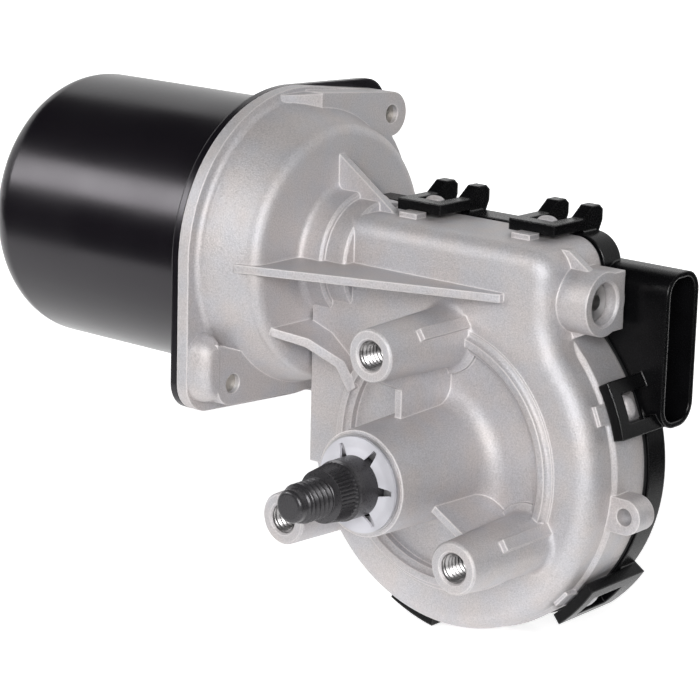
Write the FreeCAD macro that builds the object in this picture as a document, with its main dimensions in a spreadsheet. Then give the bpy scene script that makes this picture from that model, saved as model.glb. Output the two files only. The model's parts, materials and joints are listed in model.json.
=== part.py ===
import FreeCAD, Part
import math
import os
import Sketcher
from FreeCAD import Placement, Rotation, Vector

# A wiper motor. The output shaft lies along Y with its threaded tip towards -Y, and the armature along X
# with the motor can towards -X. The origin is on the output axis, in the plane of the mounting faces.
# Depths are distances along +Y from that plane, reaches are distances along -X from the output axis.

SIZES = (
    # Mounting bosses
    ("boss_circle_radius", 25, "circle of the three mounting bosses"),
    ("boss_face_radius", 5.3, "mounting boss at its face"),
    ("boss_foot_radius", 6.1, "mounting boss at the gear pan"),
    ("boss_count", 3, "mounting bosses"),
    ("mount_hole_radius", 3.0, "wall of the mounting thread, M6"),
    ("mount_hole_depth", 15, "depth of the mounting thread"),
    ("mount_hole_mouth", 0.4, "countersink at the mouth of a mounting thread"),
    ("boss_key_width", 2.4, "cast key on the side of a mounting boss"),
    ("boss_key_height", 0.7, "how far the key stands out of the boss"),
    ("boss_key_depth", 9.0, "where the key starts behind the mounting face"),
    ("boss_key_angle", 35, "side of the boss on which the key lies"),
    ("boss_web_thickness", 1.6, "web between a mounting boss and the output tube"),
    ("boss_web_depth", 9.0, "front edge of that web behind the mounting face"),
    # Output tube
    ("tube_lead", 1.8, "how far the output tube stands in front of the mounting faces"),
    ("tube_end_radius", 10.6, "output tube at its end"),
    ("tube_foot_radius", 11.4, "output tube at the gear pan"),
    ("tube_foot_round", 4.0, "round where the tube meets the pan"),
    # Gear pan
    ("pan_front", 23.3, "depth of the gear pan's front face"),
    ("pan_floor", 24.4, "depth of the sunk floor round the tube"),
    ("pan_joint", 41, "depth of the plane where the cover meets the pan"),
    ("pan_radius", 36.1, "gear pan"),
    ("pan_round", 4.0, "round along the front edge of pan and tunnel block"),
    ("pan_waist_radius", 13.0, "hollow round between the tunnel block's right side and the pan"),
    ("skirt_front", 30.5, "depth where the pan's skirt starts"),
    ("skirt_radius", 36.9, "skirt of the pan"),
    ("pan_wall", 2.8, "front wall of the gear pan"),
    ("cavity_radius", 33.6, "wheel space in the gear pan"),
    ("bead_inner_radius", 23.7, "bead ring on the pan, inner edge"),
    ("bead_outer_radius", 27.6, "bead ring on the pan, outer edge"),
    ("bead_height", 1.7, "how far the bead stands out of the front face"),
    ("bead_round", 1.2, "round of the bead's edges"),
    # Worm tunnel, neck and bell
    ("worm_depth", 33, "depth of the armature axis"),
    ("worm_height", 35, "height of the armature axis over the output axis"),
    ("worm_bore_radius", 7.0, "bore round the worm"),
    ("block_right", 24, "right side of the tunnel block from the output axis"),
    ("block_left", 27, "left side of the tunnel block, a reach"),
    ("block_top", 45.4, "top of the tunnel block over the output axis"),
    ("block_corner", 6.0, "rounded top corner of the tunnel block"),
    ("shoulder_left", 35, "left side of the shoulder under the neck, a reach"),
    ("bell_end", 35.5, "reach of the bell's closed end"),
    ("bell_wall", 3.0, "closed end of the bell"),
    ("bell_end_radius", 26.8, "bell at its closed end"),
    ("bell_rim_radius", 30.4, "bell where it meets the flange"),
    ("bell_bore_radius", 27.0, "inside of the bell"),
    ("bell_round", 2.8, "round of the bell's end edge"),
    ("bell_root_round", 1.5, "hollow round where the bell meets the flange"),
    ("bell_bore_end_radius", 23.4, "inside of the bell at its closed end"),
    ("bell_bore_taper", 6.5, "tapered length of the bell's inside"),
    ("neck_radius", 13.6, "neck round the ball bearing"),
    ("neck_step_radius", 12.4, "second step of the neck"),
    ("neck_step", 29.7, "reach of the first neck step"),
    ("neck_end", 24.4, "reach of the second neck step"),
    # Flange
    ("flange_back", 51, "reach of the joint between can and bell"),
    ("flange_thickness", 2.8, "thin part of the flange"),
    ("ear_thickness", 7.5, "flange at the screw ears"),
    ("flange_radius", 33.0, "round part of the flange"),
    ("low_corner_radius", 6.2, "low screw corner of the flange and the can"),
    ("low_corner_depth", 27.0, "middle of that corner's round before the armature axis"),
    ("high_corner_radius", 4.8, "high screw corner of the flange"),
    ("can_corner_radius", 6.8, "high screw corner of the can"),
    ("ear_offset_depth", 24.5, "can screws from the armature axis, along the depth"),
    ("ear_offset_height", 25.3, "can screws from the armature axis, up and down"),
    ("ear_radius", 4.6, "cast ear round a can screw"),
    ("ear_plate_radius", 32.2, "thick part of the flange"),
    ("screw_radius", 2.0, "can screw, M4"),
    ("screw_clearance", 0.25, "can screw in the can's flange"),
    ("screw_head_radius", 3.5, "head of a can screw"),
    ("screw_head_height", 2.6, "head of a can screw"),
    ("screw_sink", 1.2, "how far a can screw ends inside its ear"),
    # Ribs
    ("rib_thickness", 1.7, "casting ribs"),
    ("rib_bell_depth", 4.6, "long rib's front edge at the bell"),
    ("rib_front_end", 13.8, "where the long rib runs out on the front face"),
    ("low_rib_depth", 11.4, "lower rib's front edge at the bell"),
    ("gusset_height", 21.8, "top gusset on the bell over the armature axis"),
    ("gusset_foot", 20.4, "reach of the top gusset's foot"),
    # Adjuster boss
    ("adjuster_end", 31.0, "end face of the adjuster boss from the output axis"),
    ("adjuster_radius", 6.4, "round side of the adjuster boss"),
    ("adjuster_half_height", 5.8, "square side of the adjuster boss"),
    ("adjuster_depth", 39.2, "depth of the square side's face"),
    ("adjuster_hole_radius", 4.2, "hole for the thrust plug"),
    ("adjuster_mouth", 0.4, "countersink of that hole"),
    # Small ear
    ("side_ear_x", 39.4, "small ear's hole from the output axis, sideways"),
    ("side_ear_drop", 5.3, "small ear's hole under the output axis"),
    ("side_ear_radius", 3.6, "small ear"),
    ("side_ear_hole_radius", 1.75, "hole of the small ear"),
    ("side_ear_thickness", 5.0, "small ear"),
    # Motor can
    ("can_radius", 29.2, "motor can"),
    ("can_wall", 1.8, "sheet of the motor can"),
    ("can_end", 114, "reach of the can's closed end"),
    ("can_end_round", 7.4, "round of the can's end"),
    ("can_flange_thickness", 1.8, "flange of the can"),
    ("bearing_cup_radius", 8.6, "cup for the rear bearing"),
    ("bearing_cup_length", 4.5, "how far that cup stands out of the can's end"),
    # Magnets
    ("magnet_thickness", 5.8, "arc magnets"),
    ("magnet_length", 42, "arc magnets"),
    ("magnet_angle", 136, "arc of one magnet"),
    ("magnet_gap", 0.05, "glue line between magnets and can"),
    # Armature
    ("core_radius", 20.6, "laminated core"),
    ("core_length", 34, "laminated core"),
    ("core_middle", 81, "reach of the core's middle"),
    ("slot_count", 12, "slots of the core"),
    ("slot_mouth", 2.2, "mouth of a slot"),
    ("slot_radius", 2.6, "round bottom of a slot"),
    ("winding_length", 7, "windings beyond each end of the core"),
    ("arbor_radius", 4.0, "armature shaft under the core and the ball bearing"),
    ("journal_radius", 3.0, "armature shaft in the rear bush"),
    ("journal_length", 12, "armature shaft in the rear bush"),
    ("commutator_radius", 10.5, "commutator"),
    ("commutator_length", 13, "commutator"),
    ("commutator_end", 42, "reach of the commutator's front end"),
    ("commutator_bars", 12, "bars of the commutator"),
    ("bar_gap_angle", 3.5, "gap between two bars"),
    ("bar_thickness", 2.2, "bars of the commutator"),
    # Worm and wheel
    ("wheel_teeth", 50, "teeth of the worm wheel"),
    ("worm_pitch_radius", 4.5, "worm at its pitch line"),
    ("tooth_rise", 1.15, "tooth above the pitch line"),
    ("tooth_drop", 1.4, "tooth below the pitch line"),
    ("pressure_angle", 20, "flanks of worm and wheel"),
    ("mesh_play", 0.14, "play on each flank between worm and wheel"),
    ("worm_length", 29.6, "threaded length of the worm"),
    ("worm_end_length", 4.7, "plain end of the worm in its bush"),
    ("wheel_width", 8.4, "toothed rim of the wheel"),
    ("wheel_rim", 3.6, "rim under the teeth"),
    ("wheel_web", 3.2, "web of the wheel"),
    ("wheel_hub_radius", 12, "hub of the wheel"),
    ("running_gap", 0.05, "turning pieces in their bores"),
    ("seat_gap", 0.02, "pressed pieces in their seats"),
    # Output shaft
    ("shaft_radius", 6.0, "output shaft in its bushes"),
    ("shaft_tip", 22.6, "output shaft's tip in front of the mounting faces"),
    ("nose_radius", 3.25, "plain nose of the shaft"),
    ("nose_length", 2.4, "plain nose of the shaft"),
    ("thread_radius", 3.95, "thread of the shaft, M8"),
    ("thread_length", 6.4, "thread of the shaft"),
    ("knurl_front_radius", 5.2, "knurled cone at its thin end"),
    ("knurl_back_radius", 5.75, "knurled cone at its thick end"),
    ("knurl_length", 4.8, "knurled cone"),
    ("shaft_edge", 0.3, "chamfer of the shaft behind the knurl"),
    ("bush_radius", 8.0, "output shaft bushes, outside"),
    ("bush_length", 8.0, "output shaft bushes"),
    ("front_bush_depth", 0.6, "front bush from the mounting faces"),
    ("seal_ring_radius", 0.95, "section of the shaft seal"),
    ("rim_washer_radius", 9.9, "washer on the tube's end"),
    ("rim_washer_thickness", 0.5, "washer on the tube's end"),
    ("star_radius", 9.5, "star washer"),
    ("star_thickness", 0.5, "star washer"),
    ("star_cone", 0.7, "how far the star washer's teeth stand forward"),
    ("star_slots", 6, "slots of the star washer"),
    ("hub_washer_thickness", 0.6, "washer between wheel and pan"),
    # Ball bearing
    ("bearing_radius", 11, "ball bearing, outside"),
    ("bearing_width", 7, "ball bearing"),
    ("ball_radius", 1.95, "balls of the bearing"),
    ("ball_count", 7, "balls of the bearing"),
    # Cover
    ("cover_back", 47.4, "depth of the cover's back"),
    ("cover_wall", 2.2, "wall of the cover"),
    ("cover_lip", 0.3, "how far the cover stands over the pan's edge"),
    ("gasket_thickness", 0.8, "gasket between pan and cover"),
    ("lead_width", 1.8, "width of a lead strip"),
    ("lead_pitch", 2.4, "pitch of the lead strips"),
    ("raised_back", 52.7, "depth of the raised part of the cover"),
    ("raised_low", 26.5, "lower side of the raised part over the output axis"),
    ("raised_high", 38.3, "upper side of the raised part over the output axis"),
    ("shroud_mouth", 39.2, "mouth of the connector shroud from the output axis"),
    ("shroud_front", 41.8, "depth of the shroud's front side"),
    ("shroud_width", 10.9, "shroud from front to back"),
    ("shroud_low", 9.4, "lower end of the shroud over the output axis"),
    ("shroud_high", 40.6, "upper end of the shroud over the output axis"),
    ("shroud_wall", 1.1, "wall of the shroud"),
    ("socket_depth", 17, "depth of the connector socket"),
    ("blade_count", 5, "blades in the connector"),
    ("blade_pitch", 5.2, "spacing of the blades"),
    ("blade_width", 2.8, "connector blade"),
    ("blade_thickness", 0.8, "connector blade"),
    # Snap frames
    ("frame_width", 11.0, "snap frame"),
    ("frame_leg", 2.7, "leg of a snap frame"),
    ("frame_bar", 3.0, "cross bar of a snap frame, along the depth"),
    ("frame_front", 30.2, "depth of the cross bar's front, round the pan"),
    ("top_frame_front", 33.4, "depth of the cross bar's front, on the tunnel block"),
    ("guide_height", 1.1, "guide in front of a cross bar"),
    ("guide_length", 3.2, "guide in front of a cross bar, along the depth"),
    ("frame_thickness", 2.3, "snap frame, outwards"),
    ("frame_stand", 0.7, "gap between a snap frame and the pan"),
    ("lug_width", 5.0, "latch lug"),
    ("lug_height", 2.4, "latch lug"),
)

document = FreeCAD.newDocument("wiper_motor")
sheet = document.addObject("Spreadsheet::Sheet", "sizes")
for row, (alias, value, note) in enumerate(SIZES, 1):
    sheet.set(f"A{row}", note)
    sheet.set(f"B{row}", str(value))
    sheet.setAlias(f"B{row}", alias)
document.recompute()


class Size:
    """A size worked out from the sheet: its formula for the document and its value now."""

    def __init__(self, formula, value):
        self.formula = formula
        self.value = value

    @staticmethod
    def of(other):
        return other if isinstance(other, Size) else Size(repr(float(other)), float(other))

    def __add__(self, other):
        other = Size.of(other)
        return Size(f"({self.formula} + {other.formula})", self.value + other.value)

    def __radd__(self, other):
        return Size.of(other) + self

    def __sub__(self, other):
        other = Size.of(other)
        return Size(f"({self.formula} - {other.formula})", self.value - other.value)

    def __rsub__(self, other):
        return Size.of(other) - self

    def __mul__(self, other):
        other = Size.of(other)
        return Size(f"({self.formula} * {other.formula})", self.value * other.value)

    def __rmul__(self, other):
        return Size.of(other) * self

    def __truediv__(self, other):
        other = Size.of(other)
        return Size(f"({self.formula} / {other.formula})", self.value / other.value)

    def __rtruediv__(self, other):
        return Size.of(other) / self

    def __neg__(self):
        return Size(f"(-1 * {self.formula})", -self.value)


class Sizes:
    """The sheet's sizes by name."""

    def __getattr__(self, alias):
        return Size(f"sizes.{alias}", float(sheet.get(alias)))


S = Sizes()


def root(size):
    return Size(f"sqrt({size.formula})", math.sqrt(size.value))


def cosine(angle):
    angle = Size.of(angle)
    return Size(f"cos({angle.formula})", math.cos(math.radians(angle.value)))


def sine(angle):
    angle = Size.of(angle)
    return Size(f"sin({angle.formula})", math.sin(math.radians(angle.value)))


def bind(item, name, size):
    """Ties one property of an object to the sheet."""
    item.setExpression(name, Size.of(size).formula)


class Piece:
    """A solid piece of the motor: a body with its own label, sketches and features."""

    def __init__(self, label):
        self.body = document.addObject("PartDesign::Body", label)
        self.body.Label = label
        self.origin = {item.Role: item for item in self.body.Origin.OriginFeatures}

    def sketch(self, plane, offset, shift=(0, 0)):
        """A sketch on one of the body's planes, moved along its normal and shifted in it."""
        drawing = self.body.newObject("Sketcher::SketchObject", "Sketch")
        drawing.AttachmentSupport = [(self.origin[plane], "")]
        drawing.MapMode = "FlatFace"
        for axis, amount in zip("xyz", (*shift, offset)):
            bind(drawing, f"AttachmentOffset.Base.{axis}", amount)
        return drawing

    def at_depth(self, depth, shift=(0, 0)):
        """A sketch across Y: its own x is X and its own y is Z."""
        return self.sketch("XZ_Plane", -Size.of(depth), shift)

    def at_x(self, place, shift=(0, 0)):
        """A sketch across X: its own x is Y and its own y is Z."""
        return self.sketch("YZ_Plane", place, shift)

    def at_height(self, height, shift=(0, 0)):
        """A sketch across Z: its own x is X and its own y is Y."""
        return self.sketch("XY_Plane", height, shift)

    def feature(self, kind, drawing):
        made = self.body.newObject(f"PartDesign::{kind}", kind)
        made.Profile = drawing
        return made

    def run(self, kind, drawing, length, forwards):
        """A pad or pocket that runs along the plus side of its axis, or the minus side."""
        made = self.feature(kind, drawing)
        bind(made, "Length", length)
        across_depth = drawing.AttachmentSupport[0][0].Role == "XZ_Plane"
        # A sketch across Y faces -Y, and a pocket runs against its sketch
        made.Reversed = (forwards == across_depth) != (kind == "Pocket")
        return made

    def pad(self, drawing, length, forwards=True):
        return self.run("Pad", drawing, length, forwards)

    def pocket(self, drawing, length, forwards=True):
        return self.run("Pocket", drawing, length, forwards)

    def turn(self, drawing, kind="Revolution", axis="H_Axis"):
        made = self.feature(kind, drawing)
        made.ReferenceAxis = (drawing, [axis])
        made.Angle = 360
        return made

    def tip(self):
        document.recompute()
        return self.body.Tip

    def dress(self, kind, pick, name, size):
        """Rounds or chamfers the edges that pick chooses."""
        last = self.tip()
        edges = [f"Edge{n}" for n, edge in enumerate(last.Shape.Edges, 1) if pick(edge)]
        if not edges:
            raise ValueError(f"{self.body.Label}: no edge to dress")
        made = self.body.newObject(f"PartDesign::{kind}", kind)
        made.Base = (last, edges)
        bind(made, name, size)
        return made

    def round(self, pick, radius):
        return self.dress("Fillet", pick, "Radius", radius)

    def chamfer(self, pick, size):
        return self.dress("Chamfer", pick, "Size", size)

    def ring_of(self, features, axis, count):
        """Repeats features evenly about one of the body's axes."""
        made = self.body.newObject("PartDesign::PolarPattern", "PolarPattern")
        made.Originals = features
        made.Axis = (self.origin[axis], [""])
        made.Angle = 360
        bind(made, "Occurrences", count)
        self.body.Tip = made
        return made

    def place(self, x=0, y=0, z=0):
        for axis, amount in zip("xyz", (x, y, z)):
            bind(self.body, f"Placement.Base.{axis}", amount)
        return self

    def on_armature_axis(self):
        return self.place(y=S.worm_depth, z=S.worm_height)


def fix(drawing, kind, *where, size):
    """One dimension of a sketch, tied to the sheet."""
    size = Size.of(size)
    index = drawing.addConstraint(Sketcher.Constraint(kind, *where, size.value))
    drawing.setExpression(f"Constraints[{index}]", size.formula)


def circle(drawing, radius, x=0, y=0):
    x, y, radius = Size.of(x), Size.of(y), Size.of(radius)
    curve = Part.Circle(Vector(x.value, y.value, 0), Vector(0, 0, 1), radius.value)
    index = drawing.addGeometry(curve, False)
    fix(drawing, "DistanceX", -1, 1, index, 3, size=x)
    fix(drawing, "DistanceY", -1, 1, index, 3, size=y)
    fix(drawing, "Radius", index, size=radius)
    return drawing


def arc_between(start, end, radius):
    """The short arc from start to end that turns left for a positive radius, and right for a negative one."""
    middle = (start + end) / 2
    half = (end - start) / 2
    rise = math.sqrt(max(radius * radius - half.Length**2, 0))
    left = Vector(-half.y, half.x, 0).normalize()
    centre = middle + left * math.copysign(rise, radius)
    first, last = (start, end) if radius > 0 else (end, start)
    angles = [math.atan2(p.y - centre.y, p.x - centre.x) for p in (first, last)]
    return Part.ArcOfCircle(Part.Circle(centre, Vector(0, 0, 1), abs(radius)), *angles)


def outline(drawing, points):
    """A closed outline. A point is (x, y), or (x, y, radius) when an arc leads to the next point."""
    points = [[Size.of(part) for part in point] for point in points]
    first = drawing.GeometryCount
    ends = []
    for n, point in enumerate(points):
        start = Vector(point[0].value, point[1].value, 0)
        after = points[(n + 1) % len(points)]
        end = Vector(after[0].value, after[1].value, 0)
        if len(point) == 2:
            drawing.addGeometry(Part.LineSegment(start, end), False)
            ends.append((1, 2))
        else:
            drawing.addGeometry(arc_between(start, end, point[2].value), False)
            ends.append((1, 2) if point[2].value > 0 else (2, 1))
    for n, point in enumerate(points):
        after = (n + 1) % len(points)
        drawing.addConstraint(
            Sketcher.Constraint("Coincident", first + n, ends[n][1], first + after, ends[after][0])
        )
        fix(drawing, "DistanceX", -1, 1, first + n, ends[n][0], size=point[0])
        fix(drawing, "DistanceY", -1, 1, first + n, ends[n][0], size=point[1])
        if len(point) == 3:
            size = point[2] if point[2].value > 0 else -point[2]
            fix(drawing, "Radius", first + n, size=size)
    return drawing


def box_outline(drawing, x_from, x_to, y_from, y_to):
    return outline(drawing, ((x_from, y_from), (x_to, y_from), (x_to, y_to), (x_from, y_to)))


CLOSE = 0.02


def ring_edge(axis, place, radius):
    """Picks a round edge by its place along an axis and its radius."""
    place, radius = Size.of(place).value, Size.of(radius).value

    def pick(edge):
        curve = edge.Curve
        return (
            isinstance(curve, Part.Circle)
            and abs(curve.Radius - radius) < CLOSE
            and abs(getattr(curve.Center, axis) - place) < CLOSE
        )

    return pick


def straight_edge(axis, **places):
    """Picks straight edges along an axis that pass through the places given for the other axes."""
    wanted = {name: Size.of(size).value for name, size in places.items()}

    def pick(edge):
        if not isinstance(edge.Curve, (Part.Line, Part.LineSegment)):
            return False
        if abs(abs(getattr(edge.tangentAt(edge.FirstParameter), axis)) - 1) > CLOSE:
            return False
        centre = edge.CenterOfMass
        return all(abs(getattr(centre, name) - size) < CLOSE for name, size in wanted.items())

    return pick


def either(*picks):
    return lambda edge: any(pick(edge) for pick in picks)


def turned(label, profile, axis="x"):
    """A piece turned about the armature axis, or about the output axis when axis is y."""
    piece = Piece(label)
    if axis == "x":
        piece.turn(outline(piece.at_depth(0), profile))
        piece.on_armature_axis()
    else:
        drawing = piece.at_height(0)
        # Swapping the two coordinates turns every arc the other way
        outline(drawing, [(point[1], point[0], *(-Size.of(part) for part in point[2:])) for point in profile])
        piece.turn(drawing, axis="V_Axis")
    return piece


def tube_profile(start, end, inner, outer):
    return ((start, inner), (end, inner), (end, outer), (start, outer))


# Places that several pieces share

bell_end = -S.bell_end
bell_inner_end = bell_end - S.bell_wall
flange_back = -S.flange_back
pocket_floor = -(S.neck_step + 1.3)
bearing_back = pocket_floor - S.bearing_width
cavity_front = S.pan_floor + S.pan_wall
cover_front = S.pan_joint + S.gasket_thickness
tube_end = -S.tube_lead
axis_shift = (0, S.worm_height)
wheel_pitch_radius = S.worm_height - S.worm_pitch_radius
worm_pitch = 2 * math.pi * wheel_pitch_radius / S.wheel_teeth
wheel_front = S.worm_depth - S.wheel_width / 2
wheel_back = S.worm_depth + S.wheel_width / 2
can_inner_radius = S.can_radius - S.can_wall
worm_half = S.worm_length / 2
worm_bush_end = worm_half + 5.7
adjuster_floor = worm_bush_end
lead_depth = S.pan_joint + 7.6
star_front = tube_end - S.rim_washer_thickness
wheel_hub_front = cavity_front + S.hub_washer_thickness + S.running_gap
wheel_hub_back = wheel_back + 0.8
plate_back = wheel_hub_back + 1.2
cover_inside = S.cover_back - S.cover_wall
card_front = flange_back + 0.1 + 1.5


def sector(drawing, inner, outer, start, end):
    """A piece of a ring between two angles in degrees."""
    points = [(radius * cosine(angle), radius * sine(angle)) for angle in (start, end) for radius in (inner, outer)]
    return outline(drawing, (points[0], (*points[1], outer), points[3], (*points[2], -inner)))


# Gear housing

boss_angles = [90 + 360 * n / round(S.boss_count.value) for n in range(round(S.boss_count.value))]
top_clips = (-15.9, 12.4)
rim_clips = (22.8, -42, -108, -170)


def waisted_outline(drawing, radius, grow):
    """The outline of pan and tunnel block, whose right side flows into the round pan through a hollow round."""
    corner, left = S.block_corner, -S.block_left
    right, top = S.block_right + grow, S.block_top + grow
    waist = S.pan_waist_radius
    reach = radius + waist
    rise = root(reach * reach - (right + waist) * (right + waist))
    share = radius / reach
    points = (
        (left, root(radius * radius - left * left), radius),
        (0, -radius, radius),
        ((right + waist) * share, rise * share, -waist),
        (right, rise),
        (right, top - corner, corner),
        (right - corner, top),
        (left, top),
    )
    return outline(drawing, points)


def pan_outline(piece, depth, length, grow):
    """Pan, tunnel block and the shoulder beside them, where the cover meets them."""
    piece.pad(waisted_outline(piece.at_depth(depth), S.skirt_radius + grow, grow), length)
    shoulder = piece.at_depth(depth)
    box_outline(shoulder, -S.shoulder_left, 1 - S.block_left, Size.of(-8), S.block_top + grow)
    return piece.pad(shoulder, length)


def wedge(piece, angle, side, low, high, width, front, back, back_high):
    """A small ramp on the pan: full height at its front, back_high at its back."""
    made = piece.body.newObject("PartDesign::AdditiveWedge", "Wedge")
    made.AttachmentSupport = [(piece.origin["XY_Plane"], "")]
    made.MapMode = "FlatFace"
    made.AttachmentOffset = Placement(Vector(), Rotation(Vector(0, 1, 0), 90 - angle))
    values = {
        "Xmin": side - width / 2,
        "Xmax": side + width / 2,
        "X2min": side - width / 2,
        "X2max": side + width / 2,
        "Ymin": front,
        "Ymax": back,
        "Zmin": low,
        "Zmax": high,
        "Z2min": low,
        "Z2max": back_high,
    }
    for name, size in values.items():
        setattr(made, name, Size.of(size).value)
    for name, size in values.items():
        bind(made, name, size)


def on_front_face(edge, depth):
    """Whether an edge lies in the plane at this depth."""
    return all(abs(vertex.Y - plain(depth)) < CLOSE for vertex in edge.Vertexes)


def pan_and_tube(piece):
    """Tunnel block, pan, bead ring and output tube."""
    front, joint = S.pan_front, S.pan_joint
    top, low, left = S.block_top, Size.of(-8), -S.block_left
    radius, bend = S.pan_radius, S.pan_round
    piece.pad(waisted_outline(piece.at_depth(front), radius, Size.of(0)), joint - front)
    piece.round(lambda edge: on_front_face(edge, front), bend)
    shoulder = piece.at_depth(front)
    piece.pad(box_outline(shoulder, -S.shoulder_left, left + 7, low, S.worm_height), joint - front)
    duct = piece.at_depth(S.worm_depth)
    piece.pad(box_outline(duct, bell_end, left + 1, S.worm_height - 5, top), joint - S.worm_depth)
    skirt = piece.at_height(0)
    outline(
        skirt,
        (
            (0, S.skirt_front),
            (radius, S.skirt_front),
            (S.skirt_radius, S.skirt_front + 0.9),
            (S.skirt_radius - 0.4, joint),
            (0, joint),
        ),
    )
    piece.turn(skirt, axis="V_Axis")
    sunk = piece.at_height(0)
    box_outline(sunk, S.tube_foot_radius, S.bead_inner_radius, front - 1, S.pan_floor)
    piece.turn(sunk, "Groove", "V_Axis")

    bead = piece.at_height(0)
    inner, outer, bend = S.bead_inner_radius, S.bead_outer_radius, S.bead_round
    crest = front - S.bead_height
    outline(
        bead,
        (
            (inner, S.pan_floor),
            (inner, crest + bend, -bend),
            (inner + bend, crest),
            (outer - bend, crest, -bend),
            (outer, crest + bend),
            (outer, S.pan_floor),
        ),
    )
    # The ring's outline runs clockwise, so its arcs turn right
    piece.turn(bead, axis="V_Axis")

    tube = piece.at_height(0)
    foot, bend = S.tube_foot_radius, S.tube_foot_round
    outline(
        tube,
        (
            (0, tube_end),
            (S.tube_end_radius, tube_end),
            (foot, S.pan_floor - bend, -bend),
            (foot + bend, S.pan_floor),
            (foot + bend, S.pan_floor + 1),
            (0, S.pan_floor + 1),
        ),
    )
    piece.turn(tube, axis="V_Axis")


def bosses(piece):
    """Three mounting bosses with their webs and cast keys."""
    place = S.boss_circle_radius
    boss = piece.at_height(place)
    face, foot = S.boss_face_radius, S.boss_foot_radius
    edge = 0.4
    outline(
        boss,
        (
            (0, 0),
            (face - edge, 0),
            (face, edge),
            (foot, S.pan_floor - 2.5, -1.5),
            (foot + 1.5, S.pan_floor - 1),
            (foot + 1.5, S.pan_floor + 1),
            (0, S.pan_floor + 1),
        ),
    )
    round_part = piece.turn(boss, axis="V_Axis")
    web = piece.at_depth(S.boss_web_depth)
    half = S.boss_web_thickness / 2
    box_outline(web, -half, half, S.tube_end_radius - 1, place - foot + 2)
    web_part = piece.pad(web, S.pan_floor + 1 - S.boss_web_depth)
    piece.ring_of([round_part, web_part], "Y_Axis", S.boss_count)
    slant = piece.at_x(-half)
    outline(slant, ((2, place - face + 1), (2, place - face), (S.boss_web_depth, place - face - 3), (12, place - face + 1)))
    piece.pad(slant, S.boss_web_thickness)
    turn = S.boss_key_angle
    for angle in boss_angles:
        centre = (place * cosine(angle), place * sine(angle))
        reach = foot + S.boss_key_height
        half = S.boss_key_width / 2
        corners = []
        for along, across in ((0, -half), (reach, -half), (reach, half), (0, half)):
            x = centre[0] + along * cosine(turn) - across * sine(turn)
            z = centre[1] + along * sine(turn) + across * cosine(turn)
            corners.append((x, z))
        key = outline(piece.at_depth(S.boss_key_depth), corners)
        piece.pad(key, S.pan_floor - S.boss_key_depth)


def touching(radius, corner, corner_radius, side):
    """Where the straight line that touches a circle about the axis and a corner's round meets both of them."""
    away = root(corner[0] * corner[0] + corner[1] * corner[1])
    along = (radius - corner_radius) / away
    across = side * root(1 - along * along)
    normal = (
        (corner[0] * along - corner[1] * across) / away,
        (corner[1] * along + corner[0] * across) / away,
    )
    on_circle = (normal[0] * radius, normal[1] * radius)
    on_corner = (corner[0] + normal[0] * corner_radius, corner[1] + normal[1] * corner_radius)
    return on_circle, on_corner


def flange_outline(drawing, high_radius):
    """A round flange whose edge runs straight to the rounds of its two screw corners."""
    radius, low_radius = S.flange_radius, S.low_corner_radius
    high = S.ear_offset_depth, S.ear_offset_height
    low = -S.low_corner_depth, -S.ear_offset_height
    low_side, low_start = touching(radius, low, low_radius, -1)
    low_foot, low_end = touching(radius, low, low_radius, 1)
    high_foot, high_start = touching(radius, high, high_radius, -1)
    high_side, high_end = touching(radius, high, high_radius, 1)
    points = (
        low_side,
        (*low_start, low_radius),
        low_end,
        (*low_foot, radius),
        high_foot,
        (*high_start, high_radius),
        high_end,
        (*high_side, radius),
    )
    return outline(drawing, points)


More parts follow.
